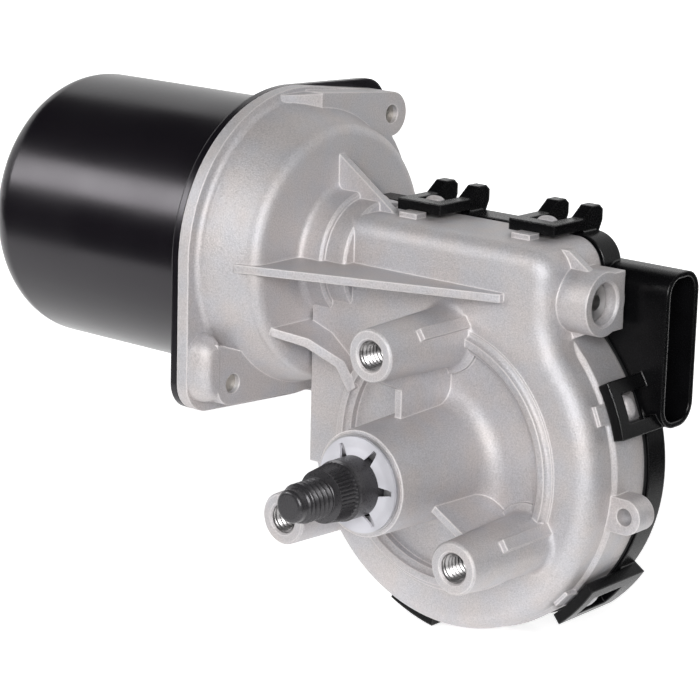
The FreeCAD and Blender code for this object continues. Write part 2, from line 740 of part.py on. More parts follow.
def bell(piece):
    """Neck, bell, flange and screw ears, turned about the armature axis."""
    axis = S.worm_depth, S.worm_height
    turning = piece.at_depth(S.worm_depth, (0, S.worm_height))
    bend, root_bend = S.bell_round, S.bell_root_round
    flange_front = flange_back + S.flange_thickness
    neck = S.neck_radius
    outline(
        turning,
        (
            (flange_back, 0),
            (flange_back, S.bell_rim_radius + root_bend),
            (flange_front, S.bell_rim_radius + root_bend, root_bend),
            (flange_front + root_bend, S.bell_rim_radius),
            (bell_end - bend, S.bell_end_radius, -bend),
            (bell_end, S.bell_end_radius - bend),
            (bell_end, neck + 1.5, 1.5),
            (bell_end + 1.5, neck),
            (-S.neck_step - 0.5, neck),
            (-S.neck_step, neck - 0.5),
            (-S.neck_step, S.neck_step_radius),
            (-S.neck_end - 0.5, S.neck_step_radius),
            (-S.neck_end, S.neck_step_radius - 0.5),
            (-S.neck_end, 0),
        ),
    )
    piece.turn(turning)
    high_radius = S.high_corner_radius
    piece.pad(flange_outline(piece.at_x(flange_back, axis), high_radius), S.flange_thickness)
    off_y, off_z = S.ear_offset_depth, S.ear_offset_height
    for side in (-1, 1):
        where = (side * off_y, side * off_z)
        radius = high_radius if side > 0 else S.ear_radius
        piece.pad(circle(piece.at_x(flange_back, axis), radius, *where), S.ear_thickness)
    plate, ear = S.ear_plate_radius, S.ear_radius
    low_corner_reach = S.low_corner_depth + S.low_corner_radius - 1
    inset = Size.of(1.7)
    rise = root(plate * plate - inset * inset)
    half_disc = outline(piece.at_x(flange_back, axis), ((inset, -rise, plate), (inset, rise)))
    piece.pad(half_disc, S.ear_thickness)
    on_plate, on_ear = touching(plate, (off_y, off_z), high_radius, 1)
    bridge = piece.at_x(flange_back, axis)
    outline(bridge, ((inset, off_z - 4), (off_y, off_z), on_ear, on_plate, (inset, rise)))
    piece.pad(bridge, S.ear_thickness)
    low = piece.at_x(flange_back, axis)
    outline(
        low,
        (
            (inset + 1, -12),
            (inset + 1, 1 - rise),
            (-off_y, -off_z - ear, -ear),
            (-off_y - ear, -off_z),
            (-off_y - ear, -16.4),
            (-21, -19.3),
        ),
    )
    piece.pad(low, S.ear_thickness)
    face, ear_face = flange_front, flange_back + S.ear_thickness
    middle_y, middle_z = axis
    for foot, top, start, end in (
        (-6, inset, 22, rise - 0.3),
        (-low_corner_reach, -off_y - ear, -off_z - 1.5, -16.4),
    ):
        ramp = piece.at_height(middle_z + start)
        outline(ramp, ((face - 1, middle_y + foot), (face, middle_y + foot), (ear_face, middle_y + top + 0.1),
                       (face - 1, middle_y + top + 0.1)))
        piece.pad(ramp, end - start)


def ribs(piece):
    """The casting ribs between bell, neck and pan."""
    thick, front = S.rib_thickness, S.pan_front
    start = bell_end - 1.5
    long_rib = piece.at_height(S.worm_height - thick / 2)
    tip, end = start - 3, S.rib_front_end
    outline(long_rib, ((tip, S.rib_bell_depth), (end, front - 1.2), (end, front + 2), (tip, front + 2)))
    piece.pad(long_rib, thick)

    low_rib = piece.at_depth(S.low_rib_depth)
    outline(
        low_rib,
        (
            (start, 22.8),
            (start, 22.8 - thick),
            (-30.2, 18.6),
            (-25.2, 14.6),
            (-23.2, 9.4),
            (-21.7, 10.4),
            (-23.9, 15.8),
            (-29.6, 20.3),
        ),
    )
    piece.pad(low_rib, front + 0.5 - S.low_rib_depth)
    slope = piece.at_height(5)
    outline(
        slope,
        (
            (bell_end, S.low_rib_depth - 1),
            (-20, S.low_rib_depth - 1),
            (-20, front - S.bead_height),
            (-22.5, front - S.bead_height),
            (bell_end, S.low_rib_depth),
        ),
    )
    piece.pocket(slope, 18)

    gusset = piece.at_depth(S.worm_depth - thick)
    top = S.block_top
    outline(
        gusset,
        (
            (start, top - 3),
            (-S.gusset_foot, top - 3),
            (-S.gusset_foot, top),
            (start, S.worm_height + S.gusset_height),
        ),
    )
    piece.pad(gusset, thick)


def adjuster_boss(piece):
    """The boss of the thrust plug at the end of the tunnel, and the small ear on the skirt."""
    axis = S.worm_depth, S.worm_height
    start = S.block_right - 4
    length = S.adjuster_end - start
    radius = S.adjuster_radius
    piece.pad(circle(piece.at_x(start, axis), radius), length)
    half = S.adjuster_half_height
    square = piece.at_x(start)
    depth = S.worm_depth
    piece.pad(box_outline(square, depth, S.adjuster_depth, S.worm_height - half, S.worm_height + half), length)
    thick = S.rib_thickness
    right, height = S.block_right, S.worm_height
    for side, rise in ((1, 9.6), (-1, 8.5)):
        gusset = piece.at_depth(depth - thick)
        corners = [
            (start, height),
            (right + 4.6, height),
            (right + 4.6, height + side * (radius - 0.6)),
            (right - 1, height + side * rise),
            (start, height + side * rise),
        ]
        outline(gusset, corners)
        piece.pad(gusset, thick)
    ear_x, ear_z, radius = S.side_ear_x, -S.side_ear_drop, S.side_ear_radius
    front = S.skirt_front
    piece.pad(circle(piece.at_depth(front), radius, ear_x, ear_z), S.side_ear_thickness)
    tail = piece.at_depth(front)
    box_outline(tail, ear_x - 5.5, ear_x, ear_z - radius, ear_z + radius)
    piece.pad(tail, S.side_ear_thickness)


def lugs(piece):
    """Latch lugs for the cover's snap frames, each with a guide in front of the cross bar."""
    width = S.lug_width
    bar_back = S.frame_front + S.frame_bar
    for angle in rim_clips:
        low = S.skirt_radius - 1.5
        crest = S.skirt_radius + S.lug_height
        wedge(piece, angle, 0, low, crest, width, bar_back + 0.4, S.pan_joint - 0.5, low + 1.6)
        wedge(piece, angle, 0, low, low + 1.4, width - 1, S.skirt_front - 2.5, S.skirt_front + 0.6, low + 2)
    for side in top_clips:
        low = S.block_top - 1
        crest = S.block_top + S.lug_height
        front = S.top_frame_front
        wedge(piece, 90, side, low, crest, width, front + S.frame_bar + 0.4, S.pan_joint - 0.5, low + 1.2)
        guide = S.block_top + S.guide_height
        wedge(piece, 90, side, low, guide, width - 0.6, front - 0.3 - S.guide_length, front - 0.3, guide)


def housing_hollows(piece):
    """Wheel space, bores, threads and screw holes."""
    space = piece.at_height(0)
    box_outline(space, 0, S.cavity_radius, cavity_front, S.pan_joint + 1)
    piece.turn(space, "Groove", "V_Axis")
    bore = piece.at_height(0)
    box_outline(bore, 0, S.bush_radius, tube_end - 1, cavity_front + 1)
    piece.turn(bore, "Groove", "V_Axis")
    tunnel = piece.at_depth(S.worm_depth, axis_shift)
    outline(
        tunnel,
        (
            (flange_back - 1, 0),
            (flange_back - 1, S.bell_bore_radius),
            (bell_inner_end - S.bell_bore_taper, S.bell_bore_radius),
            (bell_inner_end, S.bell_bore_end_radius),
            (bell_inner_end, S.bearing_radius),
            (pocket_floor, S.bearing_radius),
            (pocket_floor, S.worm_bore_radius),
            (adjuster_floor, S.worm_bore_radius),
            (adjuster_floor, S.adjuster_hole_radius),
            (S.adjuster_end - S.adjuster_mouth, S.adjuster_hole_radius),
            (S.adjuster_end, S.adjuster_hole_radius + S.adjuster_mouth),
            (S.adjuster_end + 1, S.adjuster_hole_radius + S.adjuster_mouth),
            (S.adjuster_end + 1, 0),
        ),
    )
    piece.turn(tunnel, "Groove")
    thread = piece.at_height(S.boss_circle_radius)
    radius, mouth, depth = S.mount_hole_radius, S.mount_hole_mouth, S.mount_hole_depth
    outline(
        thread,
        ((0, -1), (radius + mouth, -1), (radius + mouth, 0), (radius, mouth), (radius, depth), (0, depth + radius / 2)),
    )
    hole = piece.turn(thread, "Groove", "V_Axis")
    piece.ring_of([hole], "Y_Axis", S.boss_count)
    small = circle(piece.at_depth(S.skirt_front - 1), S.side_ear_hole_radius, S.side_ear_x, -S.side_ear_drop)
    piece.pocket(small, S.side_ear_thickness + 2)
    for side in (-1, 1):
        where = (side * S.ear_offset_depth, side * S.ear_offset_height)
        screw = circle(piece.at_x(flange_back - 1, (S.worm_depth, S.worm_height)), S.screw_radius + S.seat_gap, *where)
        piece.pocket(screw, S.ear_thickness + 2)
    leads = piece.at_x(bell_inner_end - 1)
    box_outline(leads, lead_depth - 2, lead_depth + 2, S.raised_low + raised_wall, S.raised_high - raised_wall)
    piece.pocket(leads, S.bell_wall + 2)


def gear_housing():
    piece = Piece("gear_housing")
    pan_and_tube(piece)
    bosses(piece)
    bell(piece)
    ribs(piece)
    adjuster_boss(piece)
    lugs(piece)
    housing_hollows(piece)


# Motor can and what is fixed in it


def arc_radius(half_length, rise):
    """Radius of a crowned surface that rises by this much over half its length."""
    return (half_length * half_length + rise * rise) / (2 * rise)


def motor_can():
    outer, wall, end = S.can_radius, S.can_wall, -S.can_end
    bend = S.can_end_round
    cup, cup_end = S.bearing_cup_radius, end - S.bearing_cup_length
    piece = Piece("motor_can")
    drawing = piece.at_depth(0)
    outline(
        drawing,
        (
            (cup_end, 0),
            (cup_end + wall, 0),
            (cup_end + wall, cup - wall),
            (end + wall, cup - wall),
            (end + wall, outer - bend, -(bend - wall)),
            (end + bend, outer - wall),
            (flange_back, outer - wall),
            (flange_back, outer),
            (end + bend, outer, bend),
            (end, outer - bend),
            (end, cup + 1, -1),
            (end - 1, cup),
            (cup_end + 1, cup, 1),
            (cup_end, cup - 1),
        ),
    )
    piece.turn(drawing)
    start, thick = flange_back - S.can_flange_thickness, S.can_flange_thickness
    piece.pad(flange_outline(piece.at_x(start), S.can_corner_radius), thick)
    piece.pocket(circle(piece.at_x(start - 1), outer - wall), thick + 1)
    for side in (-1, 1):
        where = (side * S.ear_offset_depth, side * S.ear_offset_height)
        piece.pocket(circle(piece.at_x(start - 1), S.screw_radius + S.screw_clearance, *where), thick + 2)
    piece.on_armature_axis()


def can_screws():
    piece = Piece("can_screws")
    back = flange_back - S.can_flange_thickness
    length = S.can_flange_thickness + S.ear_thickness - S.screw_sink
    for side in (-1, 1):
        where = (side * S.ear_offset_depth, side * S.ear_offset_height)
        head = piece.at_x(back - S.screw_head_height)
        piece.pad(circle(head, S.screw_head_radius, *where), S.screw_head_height)
        piece.pad(circle(piece.at_x(back), S.screw_radius, *where), length)
    piece.on_armature_axis()


def magnets():
    outer = can_inner_radius - S.magnet_gap
    start = -(S.core_middle + S.magnet_length / 2)
    half = S.magnet_angle / 2
    piece = Piece("field_magnets")
    for middle in (0, 180):
        arc = piece.at_x(start)
        sector(arc, outer - S.magnet_thickness, outer, middle - half, middle + half)
        piece.pad(arc, S.magnet_length)
    piece.on_armature_axis()
    clip = Piece("magnet_springs")
    reach = 90 - half - 2
    for middle in (90, 270):
        arc = clip.at_x(start + 1)
        sector(arc, outer - 0.7, outer, middle - reach, middle + reach)
        clip.pad(arc, S.magnet_length - 2)
    clip.on_armature_axis()


def rear_bearing():
    wall = S.can_wall
    cup_floor = -S.can_end - S.bearing_cup_length + wall
    seat = S.bearing_cup_radius - wall - S.seat_gap
    length = Size.of(6)
    start = cup_floor + 1.1
    crown = seat - 1
    bush = (
        (start, S.journal_radius + S.running_gap),
        (start + length, S.journal_radius + S.running_gap),
        (start + length, crown, arc_radius(length / 2, seat - crown)),
        (start, crown),
    )
    turned("rear_bearing", bush)
    floor = -S.can_end + wall
    retainer = (
        (floor, 9.2),
        (floor, 14),
        (floor + 0.6, 14),
        (floor + 0.6, 9.4),
        (start + length - 0.3, crown + 0.62),
        (start + length - 0.9, crown + 0.62),
    )
    turned("rear_bearing_retainer", retainer)
    turned("rear_thrust_pad", ((cup_floor, 0), (cup_floor, 4), (cup_floor + 0.9, 4), (cup_floor + 0.9, 0)))


# Neck bearing


def sphere_at(piece, radius, x, z):
    ball = piece.body.newObject("PartDesign::AdditiveSphere", "Sphere")
    ball.AttachmentSupport = [(piece.origin["XY_Plane"], "")]
    ball.MapMode = "FlatFace"
    bind(ball, "Radius", radius)
    bind(ball, "AttachmentOffset.Base.x", x)
    bind(ball, "AttachmentOffset.Base.z", z)
    return ball


def ball_bearing():
    start, end = bearing_back, pocket_floor
    middle = (start + end) / 2
    inner_seat = S.arbor_radius + S.seat_gap
    outer_seat = S.bearing_radius - S.seat_gap
    pitch = (S.arbor_radius + S.bearing_radius) / 2
    groove = S.ball_radius + S.running_gap
    land = groove * 0.65
    half = root(groove * groove - land * land)
    inner = (
        (start, inner_seat),
        (end, inner_seat),
        (end, pitch - land),
        (middle + half, pitch - land, -groove),
        (middle - half, pitch - land),
        (start, pitch - land),
    )
    turned("bearing_inner_ring", inner)
    outer = (
        (start, outer_seat),
        (start, pitch + land),
        (middle - half, pitch + land, -groove),
        (middle + half, pitch + land),
        (end, pitch + land),
        (end, outer_seat),
    )
    turned("bearing_outer_ring", outer)
    piece = Piece("bearing_balls")
    ball = sphere_at(piece, S.ball_radius, middle, pitch)
    piece.ring_of([ball], "X_Axis", S.ball_count)
    piece.on_armature_axis()
    piece = Piece("bearing_shields")
    for place in (start + 0.15, end - 0.45):
        shield = piece.at_depth(0)
        box_outline(shield, place, place + 0.3, pitch - land + 0.35, pitch + land - S.seat_gap)
        piece.turn(shield)
    piece.on_armature_axis()


def worm_end():
    """Bush, ball and screwed plug that hold the worm end."""
    start = worm_half + 0.7
    inner = S.journal_radius - 0.1 + S.running_gap
    turned("worm_end_bush", tube_profile(start, worm_bush_end, inner, S.worm_bore_radius - S.seat_gap))
    shaft_end = worm_half + S.worm_end_length
    radius = Size.of(1.5)
    ball = Piece("thrust_ball")
    sphere_at(ball, radius, shaft_end + 0.03 + radius, 0)
    ball.on_armature_axis()
    plug_start = shaft_end + 0.06 + 2 * radius
    outer = S.adjuster_hole_radius - S.seat_gap
    plug = (
        (plug_start, 0),
        (plug_start, outer - 0.6),
        (plug_start + 0.6, outer),
        (plug_start + 5.4, outer),
        (plug_start + 6, outer - 0.6),
        (plug_start + 6, 1.6),
        (plug_start + 3.5, 1.6),
        (plug_start + 3.5, 0),
    )
    turned("thrust_plug", plug)


# Armature


def armature():
    core_start = -(S.core_middle + S.core_length / 2)
    core_end = core_start + S.core_length
    piece = Piece("armature_core")
    piece.pad(circle(piece.at_x(core_start), S.core_radius), S.core_length)
    bottom = S.core_radius - 5
    slot = circle(piece.at_x(core_start - 1), S.slot_radius, 0, bottom)
    round_slot = piece.pocket(slot, S.core_length + 2)
    half = S.slot_mouth / 2
    mouth = box_outline(piece.at_x(core_start - 1), -half, half, bottom, S.core_radius + 1)
    open_slot = piece.pocket(mouth, S.core_length + 2)
    piece.ring_of([round_slot, open_slot], "X_Axis", S.slot_count)
    piece.pocket(circle(piece.at_x(core_start - 1), S.arbor_radius + S.seat_gap), S.core_length + 2)
    piece.on_armature_axis()

    piece = Piece("windings")
    fill = circle(piece.at_x(core_start - 1), S.slot_radius - 0.1, 0, bottom)
    bundle = piece.pad(fill, S.core_length + 2)
    piece.ring_of([bundle], "X_Axis", S.slot_count)
    length, bend = S.winding_length, Size.of(2.5)
    inner, outer = S.arbor_radius + 1.5, S.core_radius - 1.2
    for start in (core_start - length, core_end):
        head = piece.at_depth(0)
        outline(
            head,
            (
                (start, inner),
                (start + length, inner),
                (start + length, outer - bend, bend),
                (start + length - bend, outer),
                (start + bend, outer, bend),
                (start, outer - bend),
            ),
        )
        piece.turn(head)
    piece.on_armature_axis()

    end = -S.commutator_end
    start = end - S.commutator_length
    inner = S.commutator_radius - S.bar_thickness
    hub_outer = inner - S.seat_gap
    turned("commutator_hub", tube_profile(start, end, S.arbor_radius + S.seat_gap, hub_outer))
    piece = Piece("commutator_bars")
    step = 180 / S.commutator_bars - S.bar_gap_angle / 2
    bar = sector(piece.at_x(start), inner, S.commutator_radius, -step, step)
    piece.ring_of([piece.pad(bar, S.commutator_length)], "X_Axis", S.commutator_bars)
    piece.on_armature_axis()


def closed(label, polygons):
    """A solid made of flat plates that meet edge to edge."""
    plates = [Part.Face(Part.makePolygon([*corners, corners[0]])) for corners in polygons]
    shell = Part.makeShell(plates)
    shell.sewShape()
    solid = Part.makeSolid(shell)
    if solid.Volume < 0:
        solid.reverse()
    if not solid.isValid() or len(solid.Shells) != 1:
        raise ValueError(f"{label}: the plates do not close")
    return solid


def plain(size):
    return Size.of(size).value


def keep(label, shape, on_armature_axis=False):
    """Puts a worked-out shape into the document under its label."""
    item = document.addObject("Part::Feature", label)
    item.Label = label
    item.Shape = shape
    if on_armature_axis:
        for axis, amount in zip("yz", (S.worm_depth, S.worm_height)):
            bind(item, f"Placement.Base.{axis}", amount)
    return item


SIDES = 20


def worm_thread():
    """A single right-hand thread on a many-sided core, with a gap of the thread over the output axis."""
    pitch = plain(worm_pitch)
    half_length = plain(worm_half)
    pitch_radius = plain(S.worm_pitch_radius)
    low, high = pitch_radius - plain(S.tooth_drop), pitch_radius + plain(S.tooth_rise)
    slope = math.tan(math.radians(plain(S.pressure_angle)))
    middle = pitch / 4 - plain(S.mesh_play) / 2
    foot = middle + slope * (pitch_radius - low)
    crest = middle - slope * (high - pitch_radius)
    turns = 2 * math.floor((half_length - foot) / pitch - 0.5) + 1
    rows = turns * SIDES

    def at(row, x, radius):
        angle = math.radians(-90) + 2 * math.pi * (row % SIDES) / SIDES
        return Vector(x, radius * math.cos(angle), radius * math.sin(angle))

    def thread(row):
        centre = pitch * (row / SIDES - turns / 2)
        return [
            at(row, centre - foot, low),
            at(row, centre - crest, high),
            at(row, centre + crest, high),
            at(row, centre + foot, low),
        ]

    lines = [thread(row) for row in range(rows + 1)]
    plates = []
    for here, there in zip(lines, lines[1:]):
        plates.append((here[0], here[1], there[1]))
        plates.append((here[0], there[1], there[0]))
        plates.append((here[1], here[2], there[2], there[1]))
        plates.append((here[2], here[3], there[3]))
        plates.append((here[2], there[3], there[2]))
    for row in range(rows - SIDES):
        ahead = lines[row + SIDES], lines[row + SIDES + 1]
        plates.append((lines[row][3], lines[row + 1][3], ahead[1][0], ahead[0][0]))
    first, last = lines[0], lines[-1]
    plates.append(tuple(first))
    plates.append(tuple(last))
    start = [at(row, -half_length, low) for row in range(SIDES + 1)]
    end = [at(row, half_length, low) for row in range(SIDES + 1)]
    for row in range(SIDES):
        near = lines[row][0], lines[row + 1][0]
        on_last = (first[3], first[0]) if row == SIDES - 1 else ()
        plates.append((start[row], start[row + 1], *reversed(on_last), near[1], near[0]))
        far = lines[rows - SIDES + row][3], lines[rows - SIDES + row + 1][3]
        on_first = (last[0], last[3]) if row == 0 else ()
        plates.append((end[row + 1], end[row], *reversed(on_first), far[0], far[1]))
    plates.append(tuple(start[:-1]))
    plates.append(tuple(end[:-1]))
    return closed("worm", plates)


def rod(start, end, radius):
    start, end = plain(start), plain(end)
    return Part.makeCylinder(plain(radius), end - start, Vector(start, 0, 0), Vector(1, 0, 0))


def armature_shaft():
    cup_floor = -S.can_end - S.bearing_cup_length + S.can_wall
    journal_start = cup_floor + 0.95
    journal_end = journal_start + S.journal_length
    neck_end = pocket_floor + 1.5
    shaft = rod(journal_start, journal_end + 1, S.journal_radius)
    shaft = shaft.fuse(rod(journal_end, neck_end, S.arbor_radius))
    shaft = shaft.fuse(rod(neck_end - 1, worm_half + S.worm_end_length, S.journal_radius - 0.1))
    shaft = shaft.fuse(rod(neck_end - 1, -worm_half, S.worm_pitch_radius - S.tooth_drop + 0.3))
    keep("armature_shaft", shaft.fuse(worm_thread()), on_armature_axis=True)


# Worm wheel


def wheel_ring():
    """The toothed rim: flat-flanked teeth that slant with the worm's thread."""
    count = round(plain(S.wheel_teeth))
    pitch = plain(wheel_pitch_radius)
    low, high = pitch - plain(S.tooth_drop), pitch + plain(S.tooth_rise)
    pressure = math.radians(plain(S.pressure_angle))
    base = pitch * math.cos(pressure)
    thickness = (plain(worm_pitch) / 2 - plain(S.mesh_play)) / pitch

    def half_angle(radius):
        at_radius = math.acos(base / radius)
        return thickness / 2 + (math.tan(pressure) - pressure) - (math.tan(at_radius) - at_radius)

    radii = (low, pitch, high)
    profile = [(radius, -half_angle(radius)) for radius in radii]
    profile += [(radius, half_angle(radius)) for radius in reversed(radii)]
    lead = plain(worm_pitch) / (2 * math.pi * plain(S.worm_pitch_radius))
    twist = plain(S.wheel_width) / 2 * lead / pitch

    def ring(y, turn, outline_points):
        return [Vector(r * math.sin(a + turn), y, r * math.cos(a + turn)) for r, a in outline_points]

    teeth = [(r, a + 2 * math.pi * n / count) for n in range(count) for r, a in profile]
    bore = [(low - plain(S.wheel_rim), 2 * math.pi * n / count) for n in range(count)]
    front, back = plain(wheel_front), plain(wheel_back)
    outer = ring(front, -twist, teeth), ring(back, twist, teeth)
    inner = ring(front, 0, bore), ring(back, 0, bore)
    plates = []
    total = len(teeth)
    for n in range(total):
        m = (n + 1) % total
        plates.append((outer[0][n], outer[0][m], outer[1][m]))
        plates.append((outer[0][n], outer[1][m], outer[1][n]))
    for n in range(count):
        m = (n + 1) % count
        plates.append((inner[0][n], inner[0][m], inner[1][m], inner[1][n]))
    sides = [Part.Face(Part.makePolygon([*corners, corners[0]])) for corners in plates]
    for edge, hole in zip(outer, inner):
        rings = [Part.makePolygon([*points, points[0]]) for points in (edge, hole)]
        sides.append(Part.makeFace(rings, "Part::FaceMakerBullseye"))
    shell = Part.makeShell(sides)
    shell.sewShape()
    solid = Part.makeSolid(shell)
    if solid.Volume < 0:
        solid.reverse()
    return solid


def drum(start, end, radius):
    start, end = plain(start), plain(end)
    return Part.makeCylinder(plain(radius), end - start, Vector(0, start, 0), Vector(0, 1, 0))


def worm_wheel():
    web = S.wheel_web / 2
    rim = wheel_pitch_radius - S.tooth_drop - 1
    wheel = wheel_ring().fuse(drum(S.worm_depth - web, S.worm_depth + web, rim))
    wheel = wheel.fuse(drum(wheel_hub_front, wheel_hub_back, S.wheel_hub_radius))
    keep("worm_wheel", wheel.cut(drum(wheel_hub_front - 1, wheel_hub_back + 1, S.shaft_radius + S.seat_gap)))


# Output shaft and what turns with it


def output_shaft():
    tip = -S.shaft_tip
    nose_end = tip + S.nose_length
    thread_end = nose_end + S.thread_length
    knurl_end = thread_end + S.knurl_length
    nose, thread, shaft, edge = S.nose_radius, S.thread_radius, S.shaft_radius, S.shaft_edge
    profile = (
        (tip, 0),
        (tip, nose - 0.9, -0.9),
        (tip + 0.9, nose),
        (nose_end - 0.3, nose),
        (nose_end + 0.3, thread),
        (thread_end, thread),
        (thread_end, S.knurl_front_radius - 0.3),
        (thread_end + 0.3, S.knurl_front_radius),
        (knurl_end, S.knurl_back_radius),
        (knurl_end, shaft - 2 * edge),
        (knurl_end + 0.4, shaft - 2 * edge),
        (knurl_end + 0.4 + edge, shaft),
        (plate_back, shaft),
        (plate_back, shaft - 2),
        (plate_back + 0.6, shaft - 2),
        (plate_back + 0.6, 0),
    )
    turned("output_shaft", profile, "y")


def star_washer():
    """A push-on ring whose teeth grip the shaft."""
    shaft = S.shaft_radius + S.seat_gap
    back = star_front - S.running_gap
    front = back - S.star_thickness
    inner = shaft + 1.8
    profile = (
        (front - S.star_cone, shaft),
        (back - S.star_cone, shaft),
        (back, inner),
        (back, S.star_radius),
        (front, S.star_radius),
        (front, inner),
    )
    piece = Piece("star_washer")
    drawing = piece.at_height(0)
    outline(drawing, [(radius, place) for place, radius in profile])
    piece.turn(drawing, axis="V_Axis")
    slot = piece.at_depth(back - 3)
    outline(slot, ((shaft - 1, -1.1), (S.star_radius - 0.9, -0.45), (S.star_radius - 0.9, 0.45), (shaft - 1, 1.1)))
    cut = piece.pocket(slot, 5)
    piece.ring_of([cut], "Y_Axis", S.star_slots)


def drive_and_park():
    shaft = S.shaft_radius + S.seat_gap
    turned("drive_plate", tube_profile(wheel_hub_back, plate_back, shaft, S.wheel_hub_radius + 1.5), "y")
    back = S.worm_depth + S.wheel_web / 2
    piece = Piece("park_disc")
    disc = sector(piece.at_depth(back), 14, 23, 110, 250)
    piece.pad(disc, 0.5)
    disc = sector(piece.at_depth(back), 14, 23, -70, 70)
    piece.pad(disc, 0.5)
    disc = sector(piece.at_depth(back), 14, 17.5, 60, 120)
    piece.pad(disc, 0.5)


def tube_pieces():
    """Bushes, seal and washers round the output shaft."""
    running = S.shaft_radius + S.running_gap
    seat = S.bush_radius - S.seat_gap
    piece = Piece("output_shaft_bushes")
    for start in (S.front_bush_depth, cavity_front - 1 - S.bush_length):
        bush = piece.at_height(0)
        box_outline(bush, running, seat, start, start + S.bush_length)
        piece.turn(bush, axis="V_Axis")
    section = S.seal_ring_radius
    middle = running + section
    place = (tube_end + S.front_bush_depth) / 2
    piece = Piece("shaft_seal_ring")
    piece.turn(circle(piece.at_height(0), section, middle, place), axis="V_Axis")
    turned("rim_washer", tube_profile(star_front, tube_end, running + 0.3, S.rim_washer_radius), "y")
    hub_washer = tube_profile(cavity_front, cavity_front + S.hub_washer_thickness, running, S.wheel_hub_radius - 1)
    turned("hub_washer", hub_washer, "y")


# Cover, connector and wiring


def stadium(drawing, shrink):
    """The rounded outline of the connector shroud."""
    low, high = S.shroud_low + shrink, S.shroud_high - shrink
    front = S.shroud_front + shrink
    back = S.shroud_front + S.shroud_width - shrink
    bend = S.shroud_width / 2 - 1 - shrink
    points = (
        (front + bend, low),
        (back - bend, low, bend),
        (back, low + bend),
        (back, high - bend, bend),
        (back - bend, high),
        (front + bend, high, bend),
        (front, high - bend),
        (front, low + bend, bend),
    )
    return outline(drawing, points)


def blade_heights():
    middle = (S.shroud_low + S.shroud_high) / 2
    count = round(S.blade_count.value)
    return [middle + (n - (count - 1) / 2) * S.blade_pitch for n in range(count)]


blade_depth = S.shroud_front + S.shroud_width / 2
socket_floor = S.shroud_mouth - S.socket_depth
chamber_end = socket_floor - 2
raised_wall = Size.of(2)


def snap_frames(piece):
    front, bar = S.frame_front, S.frame_bar
    inner = S.skirt_radius + S.frame_stand
    outer = inner + S.frame_thickness
    leg_back = S.cover_back + 0.6
    half = S.frame_width / 2 / inner * (180 / math.pi)
    leg = S.frame_leg / inner * (180 / math.pi)
    for angle in rim_clips:
        start, end = angle - half, angle + half
        cross = sector(piece.at_depth(front), inner, outer, start, end)
        piece.pad(cross, bar)
        for first, last in ((start, start + leg), (end - leg, end)):
            piece.pad(sector(piece.at_depth(front + bar - 0.5), inner, outer, first, last), leg_back - front - bar + 0.5)
        foot = sector(piece.at_depth(cover_front + 1), inner - 3, outer, start, end)
        piece.pad(foot, leg_back - cover_front - 1)
    low = S.block_top + S.frame_stand
    high = low + S.frame_thickness
    front = S.top_frame_front
    half = S.frame_width / 2
    for side in top_clips:
        cross = piece.at_x(side - half)
        piece.pad(box_outline(cross, front, front + bar, low, high), S.frame_width)
        for start in (side - half, side + half - S.frame_leg):
            arm = piece.at_x(start)
            outline(
                arm,
                (
                    (front + 0.5, low),
                    (cover_front + 1.6, low),
                    (cover_front + 1.6, low - 3),
                    (S.cover_back, low - 3),
                    (S.cover_back + 2.2, high - 1),
                    (S.cover_back + 2.2, high + 1.2),
                    (S.cover_back + 1, high + 2.2),
                    (S.cover_back - 1.6, high + 2.2),
                    (cover_front + 1, high),
                    (front + 0.5, high),
                ),
            )
            piece.pad(arm, S.frame_leg)
        foot = piece.at_x(side - half)
        piece.pad(box_outline(foot, cover_front + 1.6, S.cover_back, low - 3, low + 0.2), S.frame_width)


def clear_of_neck(piece):
    """Cuts the piece back where the neck and the end of the bell stand in its way."""
    side = piece.at_depth(S.pan_joint - 1)
    low = S.worm_height - S.bell_end_radius - 1
    box_outline(side, bell_end - 8, bell_end + 0.2, low, S.worm_height + S.bell_end_radius)
    piece.pocket(side, S.raised_back - S.pan_joint + 2)
    notch = piece.at_depth(S.worm_depth, axis_shift)
    gap = Size.of(0.3)
    wide, narrow = S.neck_radius + 1.5 + gap, S.neck_radius + gap
    start, step, end = bell_end - 1, bell_end + 1.5 + gap, gap - S.neck_end
    outline(notch, ((start, 0), (start, wide), (step, wide), (step, narrow), (end, narrow), (end, 0)))
    piece.turn(notch, "Groove")


